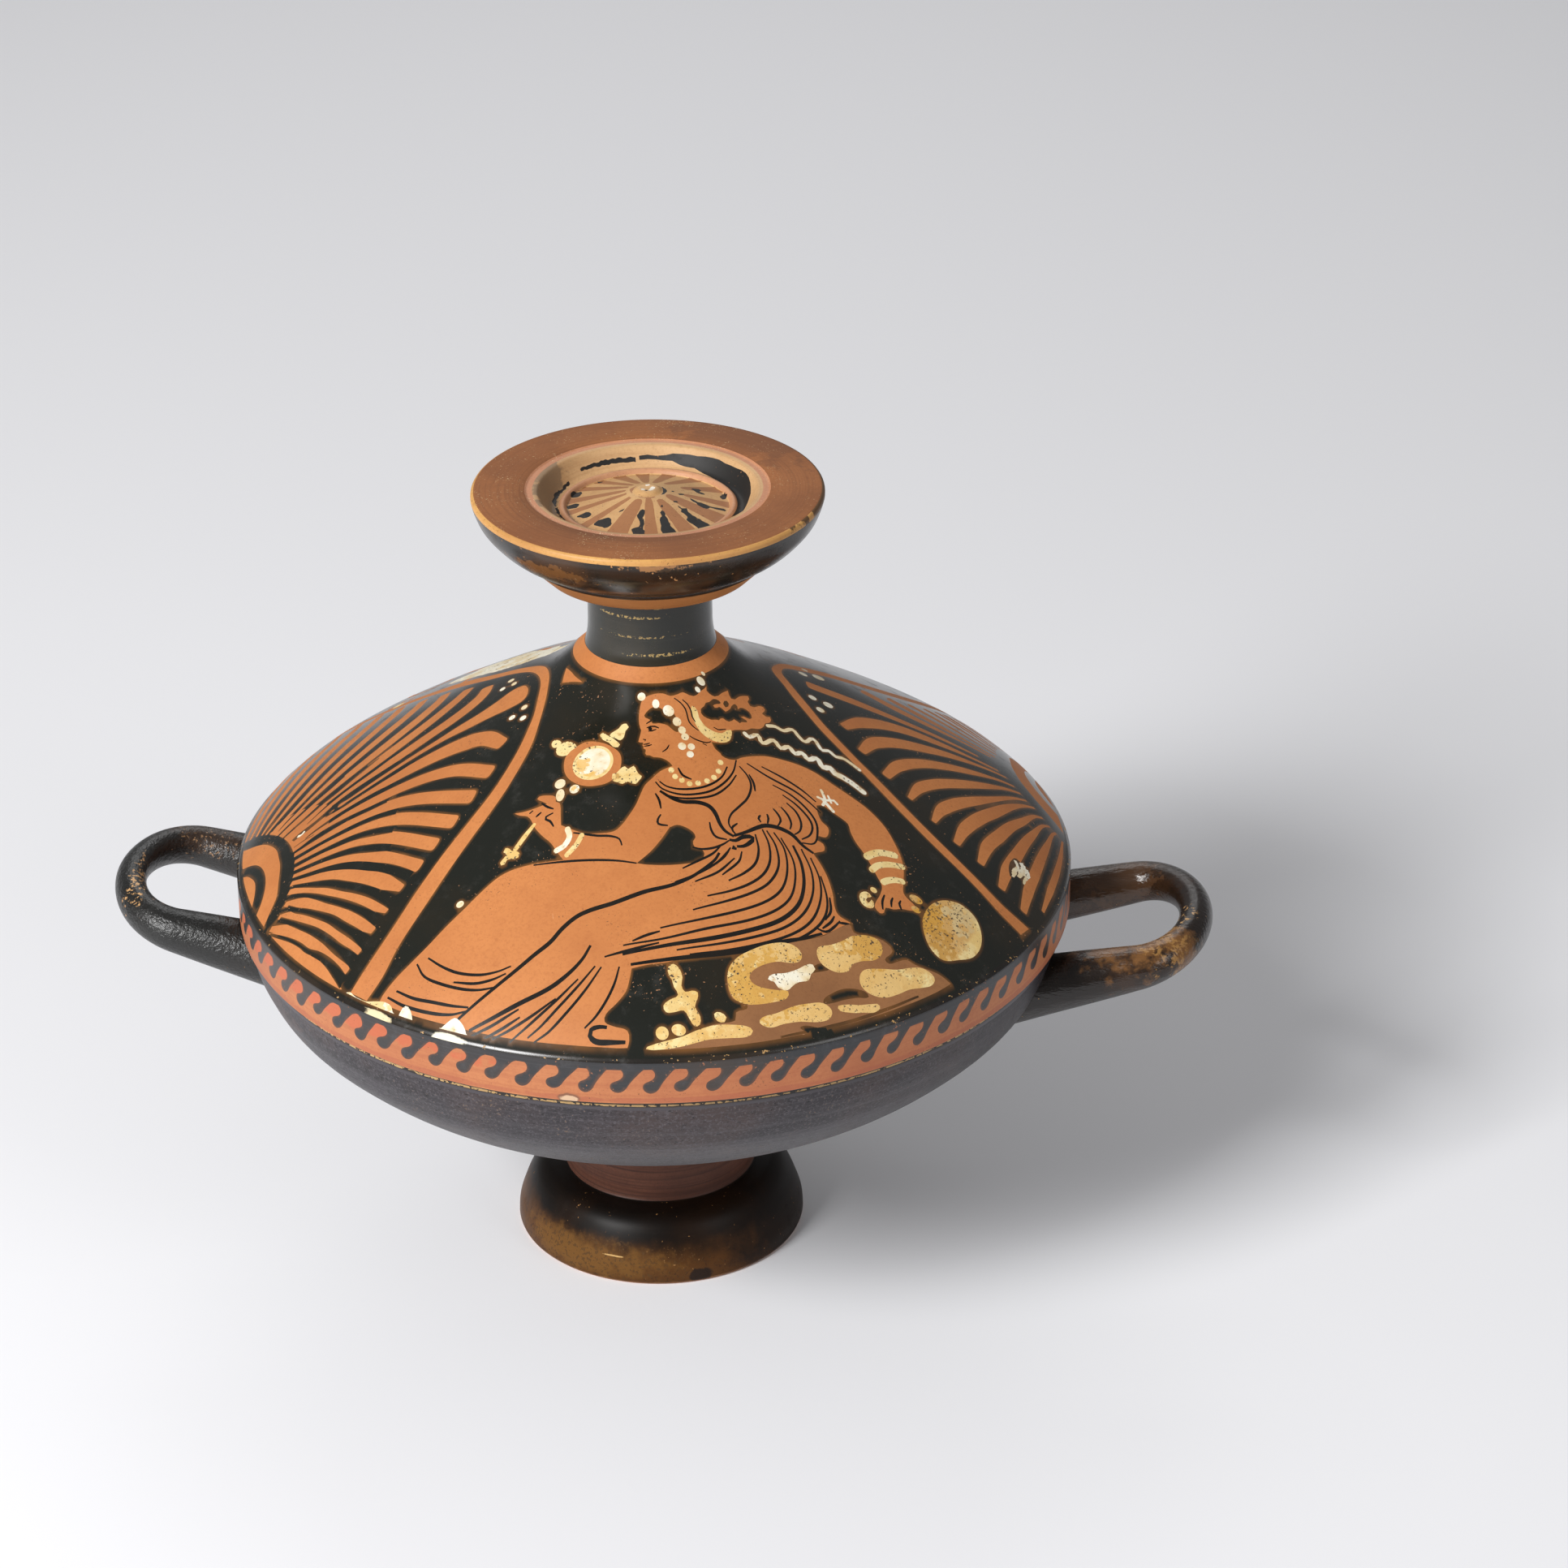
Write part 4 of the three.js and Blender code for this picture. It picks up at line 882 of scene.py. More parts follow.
def flatMesh(strokes, rings, outer, inner, grid, halo, coats, ground):
    limit = outer - meshSizes["edgeGap"]
    spots, edges, drawn, loose = [], [], [], []
    for radius, count in rings:
        addLine(spots, edges, [Vector(place[:2]) for place in around(radius, 0, count)])
    for coat, loop in strokes:
        kept = []
        for place in loop:
            if place.length > limit:
                place = place * (limit / place.length)
            if not kept or (place - kept[-1]).length > meshSizes["shortest"]:
                kept.append(place)
        if len(kept) > 2:
            addLine(spots, edges, kept)
            drawn.append((coat, kept))
    tree = treeOf(spots)
    for coat, loop in drawn:  # points beside each outline carry the halo's edge
        for k, place in enumerate(loop):
            along = loop[(k + 1) % len(loop)] - loop[k - 1]
            if along.length < tiny:
                continue
            side = Vector((-along.y, along.x)).normalized() * halo
            for beside in (place + side, place - side):
                if inner < beside.length < outer - meshSizes["edgeGap"] / 2:
                    if clearOf(tree, beside, halo * meshSizes["haloClear"]):
                        loose.append(beside)
    steps = int(2 * outer / grid) + 1
    for row in range(steps):
        for column in range(steps):
            place = Vector((-outer + grid * (column + 0.5 * (row % 2)), -outer + grid * row * meshSizes["gridRow"]))
            if inner + meshSizes["innerGap"] < place.length < limit:
                if clearOf(tree, place, grid * meshSizes["gridClear"]):
                    loose.append(place)
    crowd = set()
    cellSize = halo * meshSizes["crowding"]
    for place in loose:
        cell = (int(place.x // cellSize), int(place.y // cellSize))
        if cell not in crowd:
            crowd.add(cell)
            spots.append(place)
    verts, corners, middles = trianglesOf(spots, edges)
    reach = numpy.hypot(middles[:, 0], middles[:, 1])
    inside = (reach < outer) & (reach > inner)
    corners, middles = corners[inside], middles[inside]
    coat = numpy.full(len(corners), coats.index(ground))
    for name, loop in drawn:
        coat[insideOf(middles, loop)] = coats.index(name)
    return verts, corners.tolist(), coat.tolist()


# Makes a piece from corners in metres
def newPiece(name, spots, faces, materials, slots):
    mesh = bpy.data.meshes.new(name)
    mesh.from_pydata(spots, [], faces)
    for material in materials:
        mesh.materials.append(material)
    mesh.polygons.foreach_set("material_index", slots)
    piece = bpy.data.objects.new(name, mesh)
    bpy.context.scene.collection.objects.link(piece)
    return piece


# A mesh as it is built: corners in millimetres, and faces with a coat and a normal for each corner
class Shell:
    def __init__(self):
        self.spots, self.faces, self.coats, self.normals = [], [], [], []

    def addRing(self, radius, height, count):
        first = len(self.spots)
        self.spots.extend(around(radius, height, count))
        return list(range(first, first + count))

    def addFace(self, corners, coat, normals=None):
        self.faces.append(list(corners))
        self.coats.append(coat)
        self.normals.append(normals or [(0, 0, 0)] * len(corners))

    def bridge(self, upper, lower, coat, upperNormals=None, lowerNormals=None):
        for k in range(len(upper)):
            n = (k + 1) % len(upper)
            normals = None
            if upperNormals:
                normals = [upperNormals[k], lowerNormals[k], lowerNormals[n], upperNormals[n]]
            self.addFace((upper[k], lower[k], lower[n], upper[n]), coat, normals)

    # Corners in their order round the axis
    def inOrder(self, corners):
        return sorted(corners, key=lambda k: math.atan2(self.spots[k][1], self.spots[k][0]) % (2 * math.pi - tiny))

    # Closes the mesh; its halo attribute marks the corners where dark gloss meets another coat
    def finish(self, name, coats, materials):
        spots = [Vector(place) * mm for place in self.spots]
        piece = newPiece(name, spots, self.faces, materials, [coats.index(coat) for coat in self.coats])
        mesh = piece.data
        mesh.polygons.foreach_set("use_smooth", [True] * len(self.faces))
        seen = [set() for _ in self.spots]
        for face, coat in zip(self.faces, self.coats):
            for corner in face:
                seen[corner].add(coat in ("gloss", "rimGloss", "shoulder"))
        halo = mesh.attributes.new("halo", "FLOAT", "POINT")
        halo.data.foreach_set("value", [float(len(kinds) == 2) for kinds in seen])
        mesh.validate()
        mesh.normals_split_custom_set([tuple(normal) for face in self.normals for normal in face])
        return piece


# Coats of the lid, in the order of its material slots
lidCoats = ["gloss", "clay", "line", "white", "cream", "rock", "rimGloss", "rimClay", "shoulder", "inside"]
edgeRadius = lidSizes["radius"] - lidSizes["shoulder"]
bandTopHeight = lidSizes["rimTop"] - lidSizes["shoulder"] / 2
nearly = 0.001


def domeNormal(x, y):
    radius = math.hypot(x, y)
    slope = lidSizes["shoulderSlope"] if radius > edgeRadius - nearly else heightOn(domeLine, radius)[1]
    return Vector((-slope * x / radius, -slope * y / radius, 1)).normalized()


def bandNormal(place):
    lift = lidSizes["bandLift"] if place[2] > bandTopHeight - nearly else 0
    return Vector((place[0] / lidSizes["radius"], place[1] / lidSizes["radius"], lift)).normalized()


# The lid's top: the flat painting, laid on the dome
def lidTop(shell):
    neck = lidSizes["neckRadius"]
    verts, faces, coats = flatMesh(
        paint, [(edgeRadius, lidSizes["rimPoints"]), (neck, lidSizes["neckPoints"])], edgeRadius, neck,
        lidSizes["topGrid"], lidSizes["haloWidth"], lidCoats, "gloss")
    index = {}
    for face, coat in zip(faces, coats):
        for corner in face:
            if corner not in index:
                index[corner] = len(shell.spots)
                place = verts[corner]
                height = heightOn(domeLine, place.length)[0]
                if place.length > edgeRadius - nearly:
                    height = lidSizes["rimTop"] + lidSizes["shoulder"] / 2
                shell.spots.append((place.x, place.y, height))
        normals = [domeNormal(*verts[corner]) for corner in face]
        shell.addFace([index[corner] for corner in face], lidCoats[coat], normals)
    topRing, neckRing = (
        shell.inOrder(k for corner, k in index.items() if abs(verts[corner].length - radius) < 2 * nearly)
        for radius in (edgeRadius, neck))
    print("lid top:", len(faces), "triangles; rings", len(topRing), len(neckRing))
    shell.addFace(neckRing, "inside", [(0, 0, 1)] * len(neckRing))
    return topRing


# Wave border. One drop: millimetres along the rim, then height; each is drawn a little differently
waveDrop = [(1.9, 100.4), (2.7, 99.8), (3.05, 98.9), (2.8, 98), (2, 97.3), (0.9, 96.8), (0.15, 96.2), (0, 95.2),
            (0.5, 94.4), (1.5, 94), (2.6, 94.3), (3.5, 95.1), (4.2, 96.2), (5.1, 97.4), (6, 98.4), (6.8, 99.3),
            (7.5, 99.9), (8.5, 100.4)]
waveSizes = {
    "count": 87,
    "seed": 7,
    "first": 0.05,
    "seamShift": 1.2,  # the last drops keep clear of the seam
    "seamDrop": 84,
    "width": (0.92, 1.06),
    "height": (0.94, 1.05),
    "slant": (-0.12, 0.12),
    "droop": (-0.25, 0.2),
    "root": 100.2,
    "middle": 97.5,
    "droopBelow": 99.5,
    "top": 101,
    "step": 0.45,
    "lineHeight": 99.8,  # the dark line over the drops, with its ripple and its sway round the lid
    "lineSteps": 348,
    "ripple": 0.2,
    "ripplePaces": (0.37, 0.083),
    "sway": 0.4,
    "swayTurn": 2.18,
    "seamSteps": 8,
    "grid": (0.9, 0.8),
    "gridShift": 0.4,
    "gridLow": 0.5,
    "gridTop": 0.3,
}


def waveLoops(length):
    s = waveSizes
    random.seed(s["seed"])
    loops = []
    for wave in range(s["count"]):
        start = (wave + s["first"]) * (length / s["count"]) - s["seamShift"] * (wave > s["seamDrop"])
        wide, tall = random.uniform(*s["width"]), random.uniform(*s["height"])
        slant, droop = random.uniform(*s["slant"]), random.uniform(*s["droop"])
        drop = [(start + x * wide + slant * (z - s["middle"]),
                 s["root"] + (z - s["root"]) * tall + droop * (z < s["droopBelow"])) for x, z in waveDrop]
        corners = [(start + x, s["top"], 1) for x in (waveDrop[0][0], waveDrop[-1][0])]
        loops.append(softLine([corners[0], *drop, corners[1]], True, s["step"]))
    line = []
    for k in range(s["lineSteps"] + 1):
        quick, slow = (k * pace for pace in s["ripplePaces"])
        ripple = s["ripple"] * math.sin(quick) * math.sin(slow + 1)
        sway = s["sway"] * math.cos(2 * (2 * math.pi * k / s["lineSteps"] + s["swayTurn"]))
        line.append(Vector((length * k / s["lineSteps"], s["lineHeight"] + ripple + sway)))
    line[-1].y = line[0].y
    return loops, line


# The rim band, drawn flat as height over length and then bent round
def rimBand(shell):
    radius, count = lidSizes["radius"], lidSizes["rimPoints"]
    length = 2 * math.pi * radius
    low, high = lidSizes["seatHeight"] + lidSizes["seatGap"], bandTopHeight
    s = waveSizes
    spots, edges = [], []
    for height in (low, high):
        addLine(spots, edges, [Vector((length * k / count, height)) for k in range(count + 1)], False)
    for side in (0, length):
        spots += [Vector((side, low + (high - low) * k / s["seamSteps"])) for k in range(1, s["seamSteps"])]
    loops, line = waveLoops(length)
    for loop in loops:
        addLine(spots, edges, loop)
    addLine(spots, edges, line, False)
    tree = treeOf(spots)
    wide, tall = s["grid"]
    for row in range(int((high - low) / tall)):
        for column in range(int(length / wide)):
            place = Vector((wide / 2 + column * wide + s["gridShift"] * (row % 2), low + s["gridLow"] + row * tall))
            if place.y < high - s["gridTop"] and place.x < length - s["gridShift"] and clearOf(tree, place, wide / 2):
                spots.append(place)
    verts, corners, middles = trianglesOf(spots, edges)
    dark = set()
    for loop in [line + [Vector((length, high)), Vector((0, high))]] + loops:
        dark.update(insideOf(middles, loop).tolist())
    welded = {}

    def onBand(corner):
        along, height = verts[corner]
        turn = along / length
        turn = 0.0 if turn > 1 - 1e-7 else turn  # the seam's two sides are one
        key = (round(turn * 1e6), round(height * 1e4))
        if key not in welded:
            welded[key] = len(shell.spots)
            angle = 2 * math.pi * turn
            shell.spots.append((radius * math.cos(angle), radius * math.sin(angle), height))
        return welded[key]

    for k, face in enumerate(corners.tolist()):
        ids = [onBand(corner) for corner in face]
        if len(set(ids)) == 3:
            shell.addFace(ids, "rimGloss" if k in dark else "rimClay", [bandNormal(shell.spots[i]) for i in ids])
    topRing, lowRing = (
        shell.inOrder(k for k in welded.values() if abs(shell.spots[k][2] - height) < nearly) for height in (high, low))
    print("rim band:", len(corners), "triangles; rings", len(topRing), len(lowRing))
    return topRing, lowRing


def lidMesh(materials):
    shell = Shell()
    topRing = lidTop(shell)
    bandTop, last = rimBand(shell)
    shell.bridge(topRing, bandTop, "shoulder",
                 [domeNormal(*shell.spots[k][:2]) for k in topRing], [bandNormal(shell.spots[k]) for k in bandTop])

    # Underside: seat, inner wall and ceiling
    wall, seat, rounding = lidSizes["rimWall"], lidSizes["seatHeight"], lidSizes["seatRound"]
    below = [(lidSizes["radius"] - rounding, seat), (wall + rounding, seat), (wall, seat + rounding)]
    below += [(min(r, wall), z) for r, z in shifted(domeLine[::lidSizes["ceilingStride"]], -lidSizes["wall"])[::-1]
              if z > lidSizes["ceilingLow"] and r > lidSizes["neckRadius"] + lidSizes["ceilingGap"]]
    for r, z in below:
        ring = shell.addRing(r, z, lidSizes["rimPoints"])
        shell.bridge(last, ring, "inside")
        last = ring
    shell.addFace(last, "inside")
    return shell.finish("paintedLid", lidCoats, materials)


# Shared effects of age and firing, and ragged patches that also carry painted shade: node groups that give out one mask
# each
def newGroup(name, inputs):
    tree = bpy.data.node_groups.new(name, "ShaderNodeTree")
    for title, value in inputs.items():
        kind = "NodeSocketFloat" if isinstance(value, float) else "NodeSocketVector"
        socket = tree.interface.new_socket(title, in_out="INPUT", socket_type=kind)
        if value is not None:
            socket.default_value = value
    tree.interface.new_socket("Mask", in_out="OUTPUT", socket_type="NodeSocketFloat")
    start, end = tree.nodes.new("NodeGroupInput"), tree.nodes.new("NodeGroupOutput")
    return tree, start.outputs[:len(inputs)], end.inputs[0]


# Adds a node; a value that is a socket is linked, any other is set
def add(tree, kind, values=None, **options):
    node = tree.nodes.new(kind)
    for option, value in options.items():
        setattr(node, option, value)
    for socket, value in (values or {}).items():
        if hasattr(value, "is_output"):
            tree.links.new(value, node.inputs[socket])
        else:
            node.inputs[socket].default_value = value
    return node


def remap(tree, value, low, high, start=0.0, end=1.0):
    values = {0: value, 1: low, 2: high, 3: start, 4: end}
    return add(tree, "ShaderNodeMapRange", values, interpolation_type="SMOOTHSTEP").outputs[0]


def combine(tree, how, first, second=0.0):
    return add(tree, "ShaderNodeMath", {0: first, 1: second}, operation=how).outputs[0]


def blend(tree, share, first, second):
    first, second = (value if hasattr(value, "is_output") else (*value, 1) for value in (first, second))
    return add(tree, "ShaderNodeMix", {0: share, 6: first, 7: second}, data_type="RGBA").outputs[2]


# Lays a tint over a colour, as strongly as the mask times the share
def tinted(tree, colour, tint, mask, share):
    return blend(tree, combine(tree, "MULTIPLY", mask, share), colour, tint)


def noiseOf(tree, place, scale, detail=3.0, roughness=0.55, stretch=None):
    if stretch:
        place = add(tree, "ShaderNodeMapping", {0: place, 3: stretch}).outputs[0]
    values = {"Vector": place, "Scale": scale, "Detail": detail, "Roughness": roughness}
    return add(tree, "ShaderNodeTexNoise", values).outputs[0]


def useGroup(tree, group, values):
    return add(tree, "ShaderNodeGroup", values, node_tree=group).outputs[0]


def specksGroup():
    tree, (place, size, amount), mask = newGroup("specksAndPits", {"Place": None, "Size": 900.0, "Amount": 0.3})
    fine = noiseOf(tree, place, size, 2.0, 0.6)
    broad = noiseOf(tree, place, 90.0, 2.0, 0.5)
    mixed = combine(tree, "ADD", fine, combine(tree, "MULTIPLY", broad, 0.35))
    limit = combine(tree, "SUBTRACT", 1.0, combine(tree, "MULTIPLY", amount, 0.5))
    tree.links.new(remap(tree, combine(tree, "SUBTRACT", mixed, limit), 0.0, 0.03), mask)
    return tree


# Thin broken scratches in three directions
def scratchesGroup():
    tree, (place, amount), mask = newGroup("fineScratches", {"Place": None, "Amount": 0.5})
    masks = []
    for turn, stretch in (((0, 0, 0.5), (260, 22, 60)), ((0, 0, -0.9), (24, 300, 70)), ((0.2, 0, 1.7), (210, 18, 50))):
        drawn = add(tree, "ShaderNodeMapping", {0: place, 2: turn, 3: stretch}).outputs[0]
        wander = noiseOf(tree, drawn, 1.0, 2.0, 0.5)
        near = combine(tree, "ABSOLUTE", combine(tree, "SUBTRACT", wander, 0.5))
        masks.append(remap(tree, near, 0.0, 0.006, 1.0, 0.0))
    scratched = combine(tree, "MAXIMUM", combine(tree, "MAXIMUM", masks[0], masks[1]), masks[2])
    broken = noiseOf(tree, place, 120.0, 2.0)
    limit = combine(tree, "SUBTRACT", 0.85, combine(tree, "MULTIPLY", amount, 0.4))
    kept = remap(tree, combine(tree, "SUBTRACT", broken, limit), 0.0, 0.05)
    tree.links.new(combine(tree, "MULTIPLY", scratched, kept), mask)
    return tree


# Fine rows round the axis, as the wheel and the brush leave them
def turningGroup():
    tree, (place, scale), mask = newGroup("turningLines", {"Place": None, "Scale": 900.0})
    x, y, z = add(tree, "ShaderNodeSeparateXYZ", {0: place}).outputs
    square = combine(tree, "ADD", combine(tree, "MULTIPLY", x, x), combine(tree, "MULTIPLY", y, y))
    radius = combine(tree, "SQRT", square)
    angle = combine(tree, "ARCTAN2", y, x)
    along = add(tree, "ShaderNodeCombineXYZ", {
        0: combine(tree, "MULTIPLY", radius, scale), 1: combine(tree, "MULTIPLY", angle, 0.35),
        2: combine(tree, "MULTIPLY", z, scale)}).outputs[0]
    tree.links.new(noiseOf(tree, along, 1.0, 3.0, 0.6), mask)
    return tree


# One ragged patch, given by its centre and its reach along each axis
def patchGroup():
    tree, (place, centre, reach, ragged, grain, flakes, soft), mask = newGroup("wearAndShadePatch", {
        "Place": None, "Centre": None, "Reach": (0.01, 0.01, 0.01), "Ragged": 0.5, "Grain": 260.0, "Flakes": 0.0,
        "Soft": 0.15})
    away = add(tree, "ShaderNodeVectorMath", {0: place, 1: centre}, operation="SUBTRACT").outputs[0]
    away = add(tree, "ShaderNodeVectorMath", {0: away, 1: reach}, operation="DIVIDE").outputs[0]
    distance = add(tree, "ShaderNodeVectorMath", {0: away}, operation="LENGTH").outputs["Value"]
    uneven = combine(tree, "SUBTRACT", noiseOf(tree, place, grain, 4.0, 0.62), 0.5)
    uneven = combine(tree, "MULTIPLY", uneven, combine(tree, "MULTIPLY", ragged, 4.0))
    whole = remap(tree, combine(tree, "ADD", distance, uneven), combine(tree, "SUBTRACT", 0.97, soft),
                  combine(tree, "ADD", 0.97, soft), 1.0, 0.0)
    fine = noiseOf(tree, place, combine(tree, "MULTIPLY", grain, 2.5), 3.0, 0.6)
    broken = remap(tree, combine(tree, "SUBTRACT", fine, flakes), 0.0, 0.03)
    tree.links.new(combine(tree, "MULTIPLY", whole, broken), mask)
    return tree


specks, scratches, turning, wearAndShadePatch = specksGroup(), scratchesGroup(), turningGroup(), patchGroup()


def newMaterial(name, roughness, shine=0.5):
    material = bpy.data.materials.new(name)
    material.use_nodes = True
    tree = material.node_tree
    shader = tree.nodes["Principled BSDF"]
    shader.inputs["Roughness"].default_value = roughness
    shader.inputs["Specular IOR Level"].default_value = shine
    place = add(tree, "ShaderNodeTexCoord").outputs["Object"]
    return material, tree, shader, place


# Ragged patches of another colour, most of them stains and wear, a few painted shade: each has a tint, centre and reach
# in millimetres, raggedness, share and grain, and, where it is broken up into flakes or has a soft edge, how far
def addPatches(tree, place, colour, patches):
    for tint, centre, reach, ragged, share, grain, *rest in patches:
        flakes, soft = (*rest, *(0.0, 0.15)[len(rest):])
        mask = useGroup(tree, wearAndShadePatch, {
            "Place": place, "Centre": Vector(centre) * mm, "Reach": Vector(reach) * mm, "Ragged": ragged,
            "Grain": grain, "Flakes": flakes, "Soft": soft})
        colour = tinted(tree, colour, tint, mask, share)
    return colour


def setBump(tree, shader, height, strength, distance):
    bump = add(tree, "ShaderNodeBump", {"Height": height, "Strength": strength, "Distance": distance})
    tree.links.new(bump.outputs[0], shader.inputs["Normal"])


# Bare fired clay, with specks, wheel rows, patches and thin pale scratches
def clayMaterial(name, light, dark, roughness=0.55, speckAmount=0.2, speckColour=(0.07, 0.035, 0.02), wheel=0.0,
                 patches=(), grain=0.35, marks=0.0):
    material, tree, shader, place = newMaterial(name, roughness, 0.3)
    drift = remap(tree, noiseOf(tree, place, 26.0, 4.0), 0.38, 0.72)
    streaks = remap(tree, noiseOf(tree, place, 150.0, 4.0, 0.6), 0.42, 0.8)
    colour = tinted(tree, light, dark, drift, 0.7)
    colour = tinted(tree, colour, dark, streaks, 0.4)
    fine = remap(tree, noiseOf(tree, place, 1300.0, 4.0, 0.7), 0.45, 0.68)
    colour = tinted(tree, colour, dark, fine, grain)
    stains = remap(tree, noiseOf(tree, place, 430.0, 3.0), 0.62, 0.74)
    colour = tinted(tree, colour, dark, stains, grain)
    height = noiseOf(tree, place, 1100.0, 3.0)
    if wheel:
        rows = useGroup(tree, turning, {"Place": place, "Scale": 1500.0})
        colour = tinted(tree, colour, dark, remap(tree, rows, 0.42, 0.7), wheel)
        height = combine(tree, "ADD", combine(tree, "MULTIPLY", height, 0.4), rows)
    colour = addPatches(tree, place, colour, patches)
    dots = useGroup(tree, specks, {"Place": place, "Size": 2300.0, "Amount": speckAmount})
    colour = tinted(tree, colour, speckColour, dots, 0.7)
    if marks:
        thin = useGroup(tree, scratches, {"Place": place, "Amount": marks})
        colour = tinted(tree, colour, (0.80, 0.52, 0.30), thin, 0.6)
    tree.links.new(colour, shader.inputs["Base Color"])
    setBump(tree, shader, height, 0.22, 0.0001)
    return material


# Fired gloss: dust in its hollows, specks and scratches worn through it, and where it is asked for a grain of pits,
# wheel rows, brush marks and a browner edge along the halo
def glossMaterial(name, base, warm, roughness=0.24, halo=None, worn=0.2, speckSize=1100.0,
                  wornColour=(0.30, 0.14, 0.06), wheel=0.0, dust=(0.06, 0.056, 0.05), dustShare=0.3,
                  scratchShare=0.5, patches=(), shine=0.5, brushed=None, grain=0.0, relief=0.2):
    material, tree, shader, place = newMaterial(name, roughness, shine)
    drift = remap(tree, noiseOf(tree, place, 34.0, 4.0), 0.45, 0.72)
    colour = tinted(tree, base, warm, drift, 1.0)
    haze = remap(tree, noiseOf(tree, place, 190.0, 5.0, 0.7), 0.52, 0.78)
    colour = tinted(tree, colour, dust, haze, dustShare)
    height = combine(tree, "MULTIPLY", noiseOf(tree, place, 260.0, 4.0), 0.5)
    if grain:
        fine = noiseOf(tree, place, 1500.0, 4.0, 0.72)
        colour = tinted(tree, colour, dust, remap(tree, fine, 0.48, 0.66), grain)
        pits = remap(tree, noiseOf(tree, place, 800.0, 3.0, 0.65, (1, 1, 1.6)), 0.33, 0.42, 1.0, 0.0)
        colour = tinted(tree, colour, (0.010, 0.008, 0.009), pits, grain)
        height = combine(tree, "ADD", height, combine(tree, "SUBTRACT", fine, pits))
    if wheel:
        rows = useGroup(tree, turning, {"Place": place, "Scale": 1400.0})
        colour = tinted(tree, colour, dust, remap(tree, rows, 0.48, 0.75), wheel)
        height = combine(tree, "ADD", height, combine(tree, "MULTIPLY", rows, wheel))
    if brushed:
        strokes = combine(tree, "MULTIPLY", noiseOf(tree, place, 1.0, 3.0, 0.6, brushed), 4.0)
        height = combine(tree, "ADD", height, strokes)
    if halo:
        edge = add(tree, "ShaderNodeAttribute", attribute_name="halo").outputs["Fac"]
        uneven = remap(tree, noiseOf(tree, place, 90.0, 3.0), 0.25, 0.75, 0.25, 1.0)
        colour = tinted(tree, colour, halo, remap(tree, edge, 0.1, 1.0), uneven)
    colour = addPatches(tree, place, colour, patches)
    dots = useGroup(tree, specks, {"Place": place, "Size": speckSize, "Amount": worn})
    marks = useGroup(tree, scratches, {"Place": place, "Amount": worn})
    chips = combine(tree, "MAXIMUM", dots, combine(tree, "MULTIPLY", marks, scratchShare))
    colour = blend(tree, chips, colour, wornColour)
    tree.links.new(colour, shader.inputs["Base Color"])
    rough = combine(tree, "ADD", combine(tree, "MULTIPLY", haze, 0.16), combine(tree, "MULTIPLY", chips, 0.35))
    tree.links.new(combine(tree, "ADD", rough, roughness), shader.inputs["Roughness"])
    setBump(tree, shader, combine(tree, "SUBTRACT", height, chips), relief, 0.00012)
    return material


# Thick white or cream paint, with pits and with spots where it is missing
def paintMaterial(name, pale, deep, missing, pitAmount, patches):
    material, tree, shader, place = newMaterial(name, 0.6)
    drift = remap(tree, noiseOf(tree, place, 130.0, 3.0), 0.42, 0.62)
    colour = blend(tree, drift, pale, deep)
    stain = remap(tree, noiseOf(tree, place, 520.0, 4.0, 0.6), 0.56, 0.72)
    colour = tinted(tree, colour, missing, stain, 0.75)
    colour = addPatches(tree, place, colour, patches)
    dots = useGroup(tree, specks, {"Place": place, "Size": 1500.0, "Amount": pitAmount})
    colour = blend(tree, dots, colour, (0.07, 0.045, 0.025))
    tree.links.new(colour, shader.inputs["Base Color"])
    setBump(tree, shader, combine(tree, "SUBTRACT", noiseOf(tree, place, 420.0, 4.0), dots), 0.5, 0.0003)
    return material


